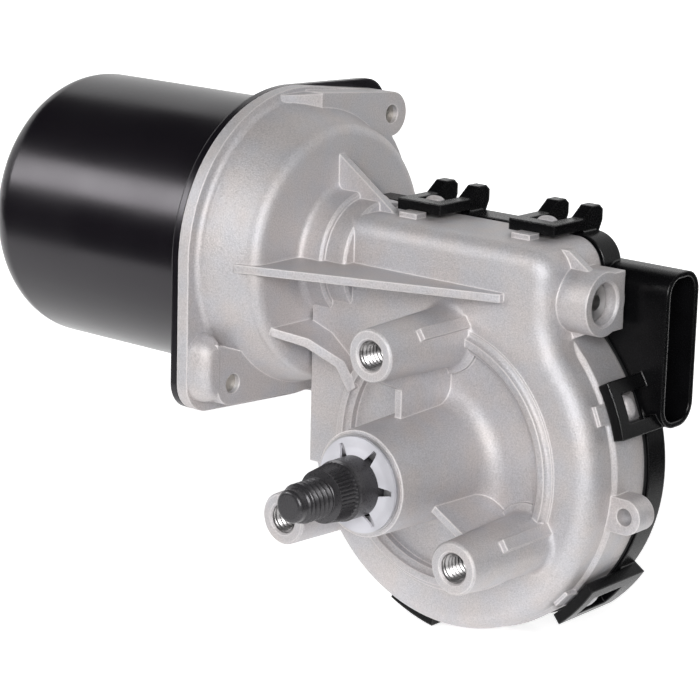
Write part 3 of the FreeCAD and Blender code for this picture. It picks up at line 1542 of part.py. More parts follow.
def gear_cover():
    piece = Piece("gear_cover")
    pan_outline(piece, cover_front, S.cover_back - cover_front, S.cover_lip)
    left, right = bell_end + 0.2, chamber_end + raised_wall
    back = S.raised_back
    raised = box_outline(piece.at_depth(S.cover_back - 1), left, right, S.raised_low, S.raised_high)
    piece.pad(raised, back - S.cover_back + 1)
    clear_of_neck(piece)
    chamber_start = chamber_end - 12
    shroud_start = chamber_start - raised_wall
    piece.pad(stadium(piece.at_x(shroud_start), 0), S.shroud_mouth - shroud_start)
    snap_frames(piece)
    space = piece.at_height(0)
    box_outline(space, 0, S.wheel_hub_radius + 9, cover_front - 1, cover_inside)
    piece.turn(space, "Groove", "V_Axis")
    stop = piece.at_height(0)
    box_outline(stop, 0, 2.5, plate_back + 0.7, cover_inside + 0.5)
    piece.turn(stop, axis="V_Axis")
    wall = raised_wall
    hollow = piece.at_depth(cover_inside - 1)
    box_outline(hollow, left - 1, chamber_end, S.raised_low + wall, S.raised_high - wall)
    piece.pocket(hollow, back - wall - cover_inside + 1)
    piece.pocket(stadium(piece.at_x(chamber_start), S.shroud_wall), chamber_end - chamber_start)
    piece.pocket(stadium(piece.at_x(socket_floor), S.shroud_wall), S.socket_depth + 1)
    gap = S.seat_gap
    for height in blade_heights():
        slot = piece.at_x(chamber_end - 1)
        thick, wide = S.blade_thickness / 2 + gap, S.blade_width / 2 + gap
        box_outline(slot, blade_depth - thick, blade_depth + thick, height - wide, height + wide)
        piece.pocket(slot, socket_floor - chamber_end + 2)


def cover_gasket():
    piece = Piece("cover_gasket")
    pan_outline(piece, S.pan_joint, S.gasket_thickness, Size.of(-0.3))
    clear_of_neck(piece)
    space = circle(piece.at_depth(S.pan_joint - 1), S.cavity_radius + 0.2)
    piece.pocket(space, S.gasket_thickness + 2)


def wiring():
    blades = Piece("connector_blades")
    start = chamber_end - 4
    length = S.shroud_mouth - 6 - start
    thick, wide = S.blade_thickness / 2, S.blade_width / 2
    for height in blade_heights():
        blade = blades.at_x(start)
        box_outline(blade, blade_depth - thick, blade_depth + thick, height - wide, height + wide)
        blades.pad(blade, length)
    strips = Piece("lead_strips")
    for height in lead_heights:
        strip = strips.at_x(card_front)
        box_outline(strip, lead_depth - 0.3, lead_depth + 0.3, height - S.lead_width / 2, height + S.lead_width / 2)
        strips.pad(strip, chamber_end - 5 - card_front)
    contacts = Piece("park_contacts")
    disc_back = S.worm_depth + S.wheel_web / 2 + 0.5
    for place in (14.9, 17, 19.1):
        finger = contacts.at_x(-place - 0.6)
        foot_low = Size.of(-1.5)
        outline(
            finger,
            (
                (cover_inside, foot_low),
                (cover_inside, foot_low + 4),
                (cover_inside - 0.4, foot_low + 4),
                (cover_inside - 0.4, foot_low + 0.5),
                (disc_back + S.running_gap + 0.4, foot_low - 4),
                (disc_back + S.running_gap, foot_low - 4),
                (disc_back + S.running_gap, foot_low - 4.4),
                (disc_back + S.running_gap + 0.6, foot_low - 4.4),
            ),
        )
        contacts.pad(finger, 1.2)


lead_heights = [(S.raised_low + S.raised_high) / 2 + step * S.lead_pitch for step in (-1, 0, 1)]


def brush_gear():
    """Brush card with boxes, brushes, springs, chokes and a thermal switch."""
    thick = Size.of(1.5)
    start = card_front - thick
    card = Piece("brush_card")
    card.pad(circle(card.at_x(start), S.bell_bore_radius - S.seat_gap), thick)
    card.pocket(circle(card.at_x(start - 1), S.commutator_radius + 2), thick + 2)
    card.on_armature_axis()
    boxes, brushes, springs = (Piece(name) for name in ("brush_boxes", "brushes", "brush_springs"))
    half = Size.of(2.5)
    wall = Size.of(0.5)
    low = card_front + wall
    high = low + 2 * half
    inner, outer = S.commutator_radius + 1.5, S.bell_bore_radius - 3
    for side in (-1, 1):
        box = boxes.at_height(side * inner if side > 0 else -outer)
        box_outline(box, card_front, high + wall, -half - wall, half + wall)
        boxes.pad(box, outer - inner)
        hole = boxes.at_height(side * inner - 1 if side > 0 else -outer + wall)
        box_outline(hole, low, high, -half, half)
        boxes.pocket(hole, outer - inner - wall + 1)
        brush_inner = S.commutator_radius + S.running_gap
        reach = Size.of(8)
        gap = S.running_gap
        brush = brushes.at_height(brush_inner if side > 0 else -brush_inner - reach)
        box_outline(brush, low + gap, high - gap, -half + gap, half - gap)
        brushes.pad(brush, reach)
        spring_start = brush_inner + reach
        spring_length = outer - wall - spring_start
        spring = springs.at_height(spring_start if side > 0 else -spring_start - spring_length)
        circle(spring, 1.9, (low + high) / 2, 0)
        circle(spring, 1.3, (low + high) / 2, 0)
        springs.pad(spring, spring_length)
    for piece in (boxes, brushes, springs):
        piece.on_armature_axis()
    chokes = Piece("choke_coils")
    for side in (-1, 1):
        coil = circle(chokes.at_x(card_front), 3, -15, side * 11)
        circle(coil, 1, -15, side * 11)
        chokes.pad(coil, 8)
    chokes.on_armature_axis()
    switch = Piece("thermal_switch")
    switch.pad(box_outline(switch.at_x(card_front), -23, -14.5, -4.5, 4.5), 3.5)
    switch.on_armature_axis()


def build_all():
    gear_housing()
    motor_can()
    can_screws()
    magnets()
    rear_bearing()
    ball_bearing()
    worm_end()
    armature()
    armature_shaft()
    worm_wheel()
    output_shaft()
    star_washer()
    drive_and_park()
    tube_pieces()
    gear_cover()
    cover_gasket()
    wiring()
    brush_gear()


def write_parts():
    """Checks every object and writes each piece to its own file."""
    document.recompute()
    for item in document.Objects:
        if "Invalid" in item.State or "Error" in item.State:
            raise ValueError(f"{item.Label}: {item.State}")
    os.makedirs("parts", exist_ok=True)
    for item in document.Objects:
        if item.TypeId not in ("PartDesign::Body", "Part::Feature"):
            continue
        shape = item.Shape
        if shape.isNull() or not shape.isValid():
            raise ValueError(f"{item.Label}: its shape is not sound")
        shape.exportStep(f"parts/{item.Label}.step")
        print(f"{item.Label}: {len(shape.Solids)} solid(s), {shape.Volume:.0f} mm3")


build_all()
write_parts()
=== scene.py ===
"""Finishes and small shapes of a wiper motor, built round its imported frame.

Lengths are in metres. The spindle lies along Y with its tip towards -Y, and the armature along X with the
motor can towards -X. The origin is on the spindle, in the plane of the mounting faces.
"""

import json
import math

import bmesh
import bpy
import numpy as np
from bpy.props import FloatProperty, FloatVectorProperty, IntProperty, PointerProperty
from mathutils import Matrix, Vector

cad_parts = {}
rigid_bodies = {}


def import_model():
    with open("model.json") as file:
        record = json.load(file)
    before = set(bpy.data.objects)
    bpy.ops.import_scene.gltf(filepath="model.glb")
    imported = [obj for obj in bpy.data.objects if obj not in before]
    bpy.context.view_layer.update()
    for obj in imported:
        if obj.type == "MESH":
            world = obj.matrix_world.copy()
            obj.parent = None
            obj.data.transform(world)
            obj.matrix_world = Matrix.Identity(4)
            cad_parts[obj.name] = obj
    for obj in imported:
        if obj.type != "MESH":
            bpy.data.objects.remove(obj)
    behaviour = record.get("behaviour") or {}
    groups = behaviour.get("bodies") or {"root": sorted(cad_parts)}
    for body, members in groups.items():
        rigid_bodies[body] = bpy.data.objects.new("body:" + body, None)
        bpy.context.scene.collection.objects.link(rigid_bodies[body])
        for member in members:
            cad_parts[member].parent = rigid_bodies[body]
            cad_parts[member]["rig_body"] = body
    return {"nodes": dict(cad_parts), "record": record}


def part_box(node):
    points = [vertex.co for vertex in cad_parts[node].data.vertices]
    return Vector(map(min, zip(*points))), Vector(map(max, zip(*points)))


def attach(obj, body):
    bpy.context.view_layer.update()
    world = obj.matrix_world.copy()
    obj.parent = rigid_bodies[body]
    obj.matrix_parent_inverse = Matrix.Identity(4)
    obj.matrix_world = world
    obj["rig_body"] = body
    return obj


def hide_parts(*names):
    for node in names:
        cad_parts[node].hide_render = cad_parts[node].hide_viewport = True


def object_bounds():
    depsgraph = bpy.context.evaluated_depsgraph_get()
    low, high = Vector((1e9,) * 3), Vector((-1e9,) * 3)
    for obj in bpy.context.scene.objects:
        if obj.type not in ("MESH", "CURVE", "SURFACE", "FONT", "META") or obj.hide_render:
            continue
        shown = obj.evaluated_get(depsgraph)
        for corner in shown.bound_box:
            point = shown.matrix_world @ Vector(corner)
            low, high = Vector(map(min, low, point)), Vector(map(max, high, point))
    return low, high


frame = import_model()
cad_box = [list(corner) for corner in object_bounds()]

bl_info = {
    "name": "Wiper motor",
    "version": (1, 0, 0),
    "blender": (4, 5, 0),
    "location": "3D View > Sidebar > Wiper motor",
    "description": "Finishes, threads, knurl and studio of a wiper motor",
    "category": "Object",
}

MM = 0.001
TURN = 2 * math.pi

# Finish of each node inside

INNER_NODES = {
    "field_magnets": "ferrite",
    "magnet_springs": "spring_steel",
    "rear_bearing": "sinter_bronze",
    "rear_bearing_retainer": "spring_steel",
    "rear_thrust_pad": "pale_plastic",
    "bearing_outer_ring": "bearing_steel",
    "bearing_shields": "bearing_steel",
    "bearing_inner_ring": "bearing_steel",
    "bearing_balls": "bearing_steel",
    "worm_end_bush": "sinter_bronze",
    "thrust_ball": "bearing_steel",
    "output_shaft_bushes": "sinter_bronze",
    "hub_washer": "pale_plastic",
    "lead_strips": "tinned_brass",
    "park_contacts": "tinned_brass",
    "brush_card": "card_board",
    "brush_boxes": "tinned_brass",
    "brushes": "carbon",
    "brush_springs": "spring_steel",
    "choke_coils": "copper",
    "thermal_switch": "dark_plastic",
    "worm_wheel": "wheel_plastic",
    "drive_plate": "zinc_steel",
    "park_disc": "tinned_brass",
    "armature_shaft": "bearing_steel",
    "armature_core": "core_iron",
    "windings": "copper",
    "commutator_hub": "dark_plastic",
    "commutator_bars": "bar_copper",
}

# Tint, lowest and highest roughness, and metallic share of the plain finishes

FINISHES = {
    "cut_aluminium": ((0.46, 0.45, 0.45), 0.28, 0.4, 1.0),
    "screw_zinc": ((0.62, 0.60, 0.55), 0.25, 0.4, 1.0),
    "blade_tin": ((0.66, 0.62, 0.52), 0.2, 0.3, 1.0),
    "rim_plate": ((0.62, 0.61, 0.62), 0.35, 0.5, 1.0),
    "plug_steel": ((0.55, 0.55, 0.54), 0.3, 0.45, 1.0),
    "ferrite": ((0.05, 0.05, 0.055), 0.55, 0.7, 0.0),
    "spring_steel": ((0.5, 0.5, 0.5), 0.3, 0.4, 1.0),
    "sinter_bronze": ((0.45, 0.28, 0.13), 0.4, 0.55, 1.0),
    "pale_plastic": ((0.75, 0.74, 0.70), 0.45, 0.55, 0.0),
    "bearing_steel": ((0.6, 0.6, 0.61), 0.15, 0.25, 1.0),
    "tinned_brass": ((0.62, 0.57, 0.45), 0.25, 0.35, 1.0),
    "card_board": ((0.20, 0.09, 0.04), 0.6, 0.7, 0.0),
    "carbon": ((0.03, 0.03, 0.03), 0.5, 0.6, 0.0),
    "copper": ((0.55, 0.16, 0.06), 0.25, 0.35, 1.0),
    "dark_plastic": ((0.02, 0.018, 0.016), 0.4, 0.5, 0.0),
    "wheel_plastic": ((0.70, 0.66, 0.52), 0.4, 0.5, 0.0),
    "zinc_steel": ((0.62, 0.62, 0.60), 0.3, 0.42, 1.0),
    "core_iron": ((0.18, 0.17, 0.16), 0.4, 0.5, 1.0),
    "bar_copper": ((0.62, 0.25, 0.12), 0.2, 0.3, 1.0),
}


# Settings


def colour(name, note, value):
    return FloatVectorProperty(
        name=name, description=note, default=value, size=3, subtype="COLOR", min=0, max=1
    )


def length(name, note, value):
    return FloatProperty(name=name, description=note, default=value, unit="LENGTH", precision=5)


def power(name, note, value):
    return FloatProperty(name=name, description=note, default=value, unit="POWER")


def strength(name, note, value):
    return FloatProperty(name=name, description=note, default=value)


class MotorSizes(bpy.types.PropertyGroup):
    """Sizes of the small shapes that the frame leaves out."""

    mount_pitch: length("Mounting thread pitch", "Pitch of the M6 threads in the bosses", 1.0 * MM)
    mount_depth: length("Mounting thread depth", "How deep the M6 threads run", 12.5 * MM)
    spindle_pitch: length("Spindle thread pitch", "Pitch of the M8 thread", 1.25 * MM)
    knurl_teeth: IntProperty(name="Knurl teeth", description="Teeth round the knurled cone", default=40)
    knurl_height: length("Knurl height", "Height of a knurl tooth", 0.38 * MM)
    cast_edge: length("Cast edge", "Softness of the casting's edges", 0.5 * MM)
    moulded_edge: length("Moulded edge", "Softness of the plastic's edges", 0.5 * MM)


class MotorColours(bpy.types.PropertyGroup):
    """Colours of the finishes that show."""

    cast: colour("Cast aluminium", "Sand-grained casting", (0.56, 0.55, 0.57))
    cast_warm: colour("Cast aluminium, warm", "Warm patches of the casting", (0.59, 0.555, 0.55))
    # Pale edge colour: partly rubbed wear, partly a painted highlight along convex edges and concave
    # junctions alike
    cast_edge: colour("Cast edges", "Rubbed edges of the casting", (0.90, 0.86, 0.855))
    can: colour("Can paint", "Satin black paint of the motor can", (0.006, 0.005, 0.007))
    cover: colour("Cover plastic", "Black plastic of the gear cover", (0.004, 0.004, 0.0045))
    spindle: colour("Spindle", "Blackened steel of the spindle", (0.06, 0.058, 0.062))
    star: colour("Star washer", "Pale star washer", (0.65, 0.645, 0.69))


class StudioSettings(bpy.types.PropertyGroup):
    """Floor, screens, lamps and surroundings."""

    floor_colour: colour("Floor", "Pale floor", (0.93, 0.93, 0.93))
    floor_lift: strength("Floor lift", "How much the floor near the object is lifted to white", 0.68)
    flag_colour: colour("Flags", "Dark screens round the object, seen in its gloss", (0.02, 0.02, 0.022))
    key_power: power("Key lamp", "Power of the soft lamp at the left", 1.9)
    fill_power: power("Fill lamp", "Power of the soft lamp at the right", 5.9)
    sky: strength("Surroundings", "Light of the room on the object", 0.65)


def sizes():
    return bpy.context.scene.motor_sizes


def colours():
    return bpy.context.scene.motor_colours


def studio():
    return bpy.context.scene.studio_settings


# What is read from the frame

spindle_tip, spindle_end = (corner[1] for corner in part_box("output_shaft"))
mounts = {mount["name"]: mount for mount in frame["record"]["mounts"]}


def body_of(node):
    return frame["nodes"][node]["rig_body"]


def slot_of(node):
    for part in frame["record"]["subparts"]:
        if part["node"] == node:
            return part["material_slot"]
    raise ValueError(f"the record has no material slot for {node}")


# Meshes


def mesh_from_grid(name, grid, capped=False):
    """A surface from a grid of points: rows run along it, and the last column meets the first again.

    The face between rows r, r+1 and columns c, c+1 takes those four points. A cap is one face on an end row.
    """
    rows, columns = grid.shape[:2]
    index = np.arange(rows * columns).reshape(rows, columns)
    beside = np.roll(index, -1, axis=1)
    quads = np.stack((index[:-1], beside[:-1], beside[1:], index[1:]), axis=-1).reshape(-1, 4)
    faces = quads.tolist()
    if capped:
        faces += [index[0][::-1].tolist(), index[-1].tolist()]
    mesh = bpy.data.meshes.new(name)
    mesh.from_pydata(grid.reshape(-1, 3), [], faces)
    return mesh


def add_piece(name, mesh, node, material, smooth_angle):
    """Puts a mesh into the scene as a piece that belongs to a node, smooth up to an angle between faces."""
    merge_distance = 0.0005 * MM
    for label in ("custom_normal", "sharp_face", "sharp_edge"):
        if label in mesh.attributes:
            mesh.attributes.remove(mesh.attributes[label])
    shaper = bmesh.new()
    shaper.from_mesh(mesh)
    bmesh.ops.remove_doubles(shaper, verts=shaper.verts, dist=merge_distance)
    bmesh.ops.dissolve_degenerate(shaper, edges=shaper.edges, dist=merge_distance)
    shaper.to_mesh(mesh)
    shaper.free()
    mesh.shade_smooth()
    mesh.set_sharp_from_angle(angle=math.radians(smooth_angle))
    mesh.materials.clear()
    mesh.materials.append(material)
    piece = bpy.data.objects.new(name, mesh)
    bpy.context.scene.collection.objects.link(piece)
    weights = piece.modifiers.new("Weighted normals", "WEIGHTED_NORMAL")
    weights.keep_sharp = True
    body, slot = body_of(node), slot_of(node)
    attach(piece, body)
    return piece


def smoothed_node(node, material):
    """A merged copy of a node with smooth curved faces, which stands in for it."""
    mesh = frame["nodes"][node].data.copy()
    piece = add_piece(f"{node}_finished", mesh, node, material, smooth_angle=30)
    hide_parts(node)


def all_round(columns):
    """Angles of so many columns round an axis."""
    return np.linspace(0, TURN, columns, endpoint=False)


def around_y(places, radii, columns, centre=(0, 0)):
    """Points of a surface round an axis along Y.

    x = r cos a and z = r sin a from the centre, with the radius r a grid over place and angle a.
    """
    angle = all_round(columns)
    radii = np.broadcast_to(radii, (len(places), columns))
    depth = np.repeat(np.asarray(places)[:, None], columns, axis=1)
    return np.stack((centre[0] + radii * np.cos(angle), depth, centre[1] + radii * np.sin(angle)), axis=-1)


def ridge(phase, flat=0.18):
    """A thread's profile over one turn, 0 in the groove and 1 on the crest, with a small flat on both."""
    wave = 1 - np.abs(2 * (phase % 1) - 1)
    return np.clip((wave - flat / 2) / (1 - flat), 0, 1)


def fade(places, start, end, distance):
    """1 between start and end, falling to 0 at both over a distance. One row for each place."""
    return np.clip(np.minimum(places - start, end - places) / distance, 0, 1)[:, None]


def squarish(wave):
    """A sine or cosine raised to 0.8 with its sign kept, which makes a round shape fuller."""
    return np.sign(wave) * np.abs(wave) ** 0.8


# Shader nodes


def add_node(tree, kind, settings=None, **inputs):
    """A shader node with its settings, and its inputs set to values or linked to sockets.

    An input is called by its name, with _ for each space, or by its place, as in _0 for the first.
    """
    made = tree.nodes.new(kind)
    for name, value in (settings or {}).items():
        setattr(made, name, value)
    for name, value in inputs.items():
        socket = made.inputs[int(name[1:])] if name[0] == "_" else made.inputs[name.replace("_", " ")]
        if isinstance(value, bpy.types.NodeSocket):
            tree.links.new(value, socket)
        else:
            socket.default_value = value
    return made


def feed(tree, shader, **inputs):
    """Links sockets to the inputs of a shader."""
    for name, socket in inputs.items():
        tree.links.new(socket, shader.inputs[name.replace("_", " ")])


def worked_out(tree, operation, first, second):
    """The result of a sum with two values or sockets."""
    return add_node(tree, "ShaderNodeMath", {"operation": operation}, _0=first, _1=second).outputs[0]


def ranged(tree, value, low=0.0, high=1.0, start=0.0, end=1.0, bend="LINEAR"):
    """A value between start and end, carried to the range from low to high."""
    made = add_node(
        tree,
        "ShaderNodeMapRange",
        {"interpolation_type": bend},
        Value=value,
        From_Min=start,
        From_Max=end,
        To_Min=low,
        To_Max=high,
    )
    return made.outputs[0]


def mix_colours(tree, factor, first, second, blend="MIX"):
    mix = add_node(tree, "ShaderNodeMix", {"data_type": "RGBA", "blend_type": blend}, _0=factor)
    for socket, value in ((mix.inputs[6], first), (mix.inputs[7], second)):
        if isinstance(value, bpy.types.NodeSocket):
            tree.links.new(value, socket)
        else:
            socket.default_value = (*value, 1)
    return mix.outputs[2]


def bumped(tree, height, distance, normal=None):
    bump = add_node(tree, "ShaderNodeBump", Strength=1.0, Distance=distance, Height=height)
    if normal is not None:
        tree.links.new(normal, bump.inputs["Normal"])
    return bump.outputs[0]


def noise(tree, place, scale, detail, roughness):
    made = add_node(tree, "ShaderNodeTexNoise", Vector=place, Scale=scale, Detail=detail, Roughness=roughness)
    return made.outputs["Fac"]


def seen_directly(tree):
    """1 for rays from the camera, from a mirror or through glass, and 0 for light."""
    path = add_node(tree, "ShaderNodeLightPath").outputs
    seen = worked_out(tree, "MAXIMUM", path["Is Camera Ray"], path["Is Glossy Ray"])
    return worked_out(tree, "MAXIMUM", seen, path["Is Transmission Ray"])


def shared_group(name, inputs, outputs, build):
    """A node group that materials share, made once."""
    if name in bpy.data.node_groups:
        return bpy.data.node_groups[name]
    group = bpy.data.node_groups.new(name, "ShaderNodeTree")
    for label, kind, value in inputs:
        socket = group.interface.new_socket(label, in_out="INPUT", socket_type=kind)
        if value is not None:
            socket.default_value = value
    for label, kind in outputs:
        group.interface.new_socket(label, in_out="OUTPUT", socket_type=kind)
    entry = group.nodes.new("NodeGroupInput")
    leave = group.nodes.new("NodeGroupOutput")
    for label, socket in build(group, entry).items():
        group.links.new(socket, leave.inputs[label])
    return group


def grained(tree, place, grain):
    """Height of a fine sand grain on a surface, and clouds that are 20 times as wide."""

    def build(group, entry):
        place, size = entry.outputs["Place"], entry.outputs["Grain"]
        scale = worked_out(group, "DIVIDE", 1.0, size)
        wide_scale = worked_out(group, "MULTIPLY", scale, 0.05)
        fine = noise(group, place, scale, detail=3.0, roughness=0.7)
        wide = noise(group, place, wide_scale, detail=1.5, roughness=0.5)
        return {
            "Height": ranged(group, fine, start=0.3, end=0.7),
            "Clouds": ranged(group, wide, start=0.35, end=0.65),
        }

    inputs = (("Place", "NodeSocketVector", None), ("Grain", "NodeSocketFloat", 0.3 * MM))
    outputs = (("Height", "NodeSocketFloat"), ("Clouds", "NodeSocketFloat"))
    group = shared_group("sand_grain", inputs, outputs, build)
    made = add_node(tree, "ShaderNodeGroup", {"node_tree": group}, Place=place, Grain=grain)
    return made.outputs["Height"], made.outputs["Clouds"]


def edged(tree, radius):
    """Rounded normals along edges, and a mask of those edges."""

    def build(group, entry):
        bevel = add_node(group, "ShaderNodeBevel", {"samples": 6}, Radius=entry.outputs["Radius"]).outputs[0]
        true = add_node(group, "ShaderNodeNewGeometry").outputs["Normal"]
        same = add_node(group, "ShaderNodeVectorMath", {"operation": "DOT_PRODUCT"}, _0=bevel, _1=true)
        return {"Normal": bevel, "Edges": ranged(group, same.outputs["Value"], start=0.995, end=0.90)}

    inputs = (("Radius", "NodeSocketFloat", 0.4 * MM),)
    outputs = (("Normal", "NodeSocketVector"), ("Edges", "NodeSocketFloat"))
    group = shared_group("soft_edges", inputs, outputs, build)
    made = add_node(tree, "ShaderNodeGroup", {"node_tree": group}, Radius=radius)
    return made.outputs["Normal"], made.outputs["Edges"]


# Materials


def new_material(name, **values):
    """A Principled material with its plain values set on its own sockets."""
    material = bpy.data.materials.new(name)
    material.use_nodes = True
    tree = material.node_tree
    shader = tree.nodes["Principled BSDF"]
    for label, value in values.items():
        shader.inputs[label.replace("_", " ")].default_value = value
    place = add_node(tree, "ShaderNodeTexCoord").outputs["Object"]
    return material, tree, shader, place


def cast_aluminium():
    """Sand-grained die casting: pale warm grey, cloudy, with lighter edges that are partly rubbed wear and
    partly painted highlight.
    """
    material, tree, shader, place = new_material("cast_aluminium", Metallic=0.45, Specular_IOR_Level=0.5)
    height, clouds = grained(tree, place, grain=0.32 * MM)
    soft, edges = edged(tree, sizes().cast_edge)
    skin = mix_colours(tree, clouds, colours().cast, colours().cast_warm)
    specked = mix_colours(tree, 1.0, skin, ranged(tree, height, low=0.80, high=1.18), "MULTIPLY")
    # Painted highlight, partly rubbed wear: the edge mask lightens convex edges and concave junctions alike
    # towards the pale edge colour
    edge_highlight_and_wear = ranged(tree, edges, high=0.8)
    feed(
        tree,
        shader,
        Base_Color=mix_colours(tree, edge_highlight_and_wear, specked, colours().cast_edge),
        Roughness=ranged(tree, height, low=0.38, high=0.58),
        Normal=bumped(tree, height, distance=0.045 * MM, normal=soft),
    )
    return material


def can_paint():
    """Satin black paint with a faint orange peel."""
    violet = (0.98, 0.93, 1.0, 1)
    paint = {"Base_Color": (*colours().can, 1), "Specular_IOR_Level": 0.4, "Specular_Tint": violet}
    material, tree, shader, place = new_material("can_paint", **paint)
    height, clouds = grained(tree, place, grain=0.9 * MM)
    soft, _ = edged(tree, radius=0.5 * MM)
    normal = bumped(tree, height, distance=0.0015 * MM, normal=soft)
    feed(tree, shader, Roughness=ranged(tree, clouds, low=0.22, high=0.27), Normal=normal)
    return material


def moulded_plastic(name, tint, low_gloss, high_gloss):
    """Moulded plastic with a fine spark-eroded grain, which shines more along its edges."""
    material, tree, shader, place = new_material(name)
    height, clouds = grained(tree, place, grain=0.25 * MM)
    soft, edges = edged(tree, sizes().moulded_edge)
    feed(
        tree,
        shader,
        Base_Color=mix_colours(tree, clouds, tint, tuple(part * 0.75 for part in tint)),
        Specular_IOR_Level=ranged(tree, edges, low=0.12, high=0.7),
        Roughness=ranged(tree, height, low_gloss, high_gloss),
        Normal=bumped(tree, height, distance=0.01 * MM, normal=soft),
    )
    return material


def metal(name, tint, low_gloss, high_gloss, metallic):
    """Plain machined or plated metal with small changes of gloss. Inside, it does for plastic too."""
    material, tree, shader, place = new_material(name, Metallic=metallic)
    height, clouds = grained(tree, place, grain=0.4 * MM)
    feed(
        tree,
        shader,
        Base_Color=mix_colours(tree, clouds, tint, tuple(part * 0.8 for part in tint)),
        Roughness=ranged(tree, height, low_gloss, high_gloss),
        Normal=bumped(tree, height, distance=0.006 * MM),
    )
    return material


def finish(name):
    """One of the plain finishes, made once."""
    if name in bpy.data.materials:
        return bpy.data.materials[name]
    return metal(name, *FINISHES[name])


# Operators, one for each piece or group of like pieces


class Step(bpy.types.Operator):
    """What the operators share."""

    bl_options = {"REGISTER", "UNDO"}

    def execute(self, context):
        self.make()
        return {"FINISHED"}


class MOTOR_OT_casting(Step):
    """The cast gear housing"""

    bl_idname = "motor.casting"
    bl_label = "Gear housing"

    def make(self):
        casting = cast_aluminium()
        smoothed_node("gear_housing", casting)
        self.swelling(casting)
        self.lug_tips(casting)

    def swelling(self, casting):
        """Rounded rise from the flange to the low screw ear, over the straight ramp of the solid.

        Its section across Z is a quarter of a squarish ellipse about the corner between flange and ear. It
        shrinks to that corner at both ends by the root of 1 - u^4, with u from -1 to 1 along Z.
        """
        face, ear_face = -48.3 * MM, -43.48 * MM
        side, wide, rise = 4.7 * MM, 4.8 * MM, 5.3 * MM
        middle, half = 13.1 * MM, 7.2 * MM
        turn = np.linspace(0, math.pi / 2, 15)
        along = np.sin(np.linspace(-math.pi / 2, math.pi / 2, 33))
        shrink = np.sqrt(np.clip(1 - along**4, 0, 1))[:, None]
        x = np.minimum(face + rise * shrink * squarish(np.sin(turn)), ear_face)
        y = side - wide * shrink * squarish(np.cos(turn))
        z = np.repeat(middle + half * along[:, None], len(turn), axis=1)
        skin = np.stack((x, y, z), axis=-1)
        corner = np.stack((np.full(len(z), face), np.full(len(z), side), z[:, 0]), axis=-1)[:, None]
        mesh = mesh_from_grid("ear_swelling", np.concatenate((skin, corner), axis=1))
        add_piece("ear_swelling", mesh, "gear_housing", casting, smooth_angle=50)

    def lug_tips(self, casting):
        """Rounded tips of the latch lugs in the cover's snap frames.

        Each is a squarish ellipsoid: across = a cos t cos p, depth = b sin p and outwards = c sin t cos p,
        with t round the depth axis, p from end to end, and each sine and cosine raised to 0.8, its sign kept.
        """
        skirt, block_top = 36.9 * MM, 45.4 * MM
        across, deep = 2.4 * MM, 1.7 * MM
        rim_depth, rim_tall, rim_angles = 35.6 * MM, 1.6 * MM, (22.8, -42, -108, -170)
        top_depth, top_tall, top_sides = 38.6 * MM, 2.2 * MM, (-15.9 * MM, 12.4 * MM)
        rim_out, top_out = skirt + 1.2 * MM, block_top + 1.3 * MM
        tips = [(angle, 0, rim_out, rim_depth, rim_tall) for angle in rim_angles]
        tips += [(90, side, top_out, top_depth, top_tall) for side in top_sides]
        turn = all_round(32)[None, :]
        end = np.linspace(-math.pi / 2, math.pi / 2, 17)[:, None]
        for number, (angle, side, out, depth, tall) in enumerate(tips, 1):
            beside = side + across * squarish(np.cos(turn)) * squarish(np.cos(end))
            outwards = out + tall * squarish(np.sin(turn)) * squarish(np.cos(end))
            along = np.broadcast_to(depth + deep * squarish(np.sin(end)), beside.shape)
            cos, sin = math.cos(math.radians(angle)), math.sin(math.radians(angle))
            points = np.stack((outwards * cos + beside * sin, along, outwards * sin - beside * cos), axis=-1)
            # The end rows are single points, so the caps close the rows next to them
            mesh = mesh_from_grid(f"lug_tip_{number}", points[1:-1], capped=True)
            add_piece(f"lug_tip_{number}", mesh, "gear_housing", casting, smooth_angle=60)


class MOTOR_OT_mount_threads(Step):
    """The threads in the mounting bosses"""

    bl_idname = "motor.mount_threads"
    bl_label = "Mounting threads"

    def make(self):
        """Inside of a sleeve: its radius falls from the wall by the thread's height times a winding ridge."""
        pattern = mounts["mounting_holes"]["dims"]
        clearance, thickness = 0.02 * MM, 0.1 * MM
        wall = pattern["hole_r_mm"] * MM - clearance
        circle = pattern["pcd_mm"] * MM / 2
        pitch, depth = sizes().mount_pitch, sizes().mount_depth
        thread_height = 0.52 * pitch
        columns, rows_in_pitch, first_hole = 72, 12, 90
        start = 0.5 * MM
        places = np.arange(start, depth, pitch / rows_in_pitch)
        winding = ridge(places[:, None] / pitch - all_round(columns) / TURN)
        radii = wall - thread_height * fade(places, start, places[-1], pitch) * winding
        skin = np.full((1, columns), wall + thickness)
        rows = np.concatenate((radii, skin, skin, radii[:1]))
        depths = np.concatenate((places, [places[-1], places[0], places[0]]))
        aluminium = finish("cut_aluminium")
        for number in range(pattern["count"]):
            turn = math.radians(first_hole + 360 * number / pattern["count"])
            centre = circle * math.cos(turn), circle * math.sin(turn)
            mesh = mesh_from_grid(f"mount_thread_{number + 1}", around_y(depths, rows, columns, centre))
            add_piece(f"mount_thread_{number + 1}", mesh, "gear_housing", aluminium, smooth_angle=60)


class MOTOR_OT_can(Step):
    """The painted motor can and its screws"""

    bl_idname = "motor.can"
    bl_label = "Motor can"

    def make(self):
        smoothed_node("motor_can", can_paint())
        smoothed_node("can_screws", finish("screw_zinc"))


class MOTOR_OT_cover(Step):
    """The gear cover with its connector, and the gasket under it"""

    bl_idname = "motor.cover"
    bl_label = "Gear cover"

    def make(self):
        smoothed_node("gear_cover", moulded_plastic("cover_plastic", colours().cover, 0.2, 0.3))
        smoothed_node("cover_gasket", moulded_plastic("seal_rubber", (0.02, 0.02, 0.021), 0.6, 0.75))
        smoothed_node("connector_blades", finish("blade_tin"))


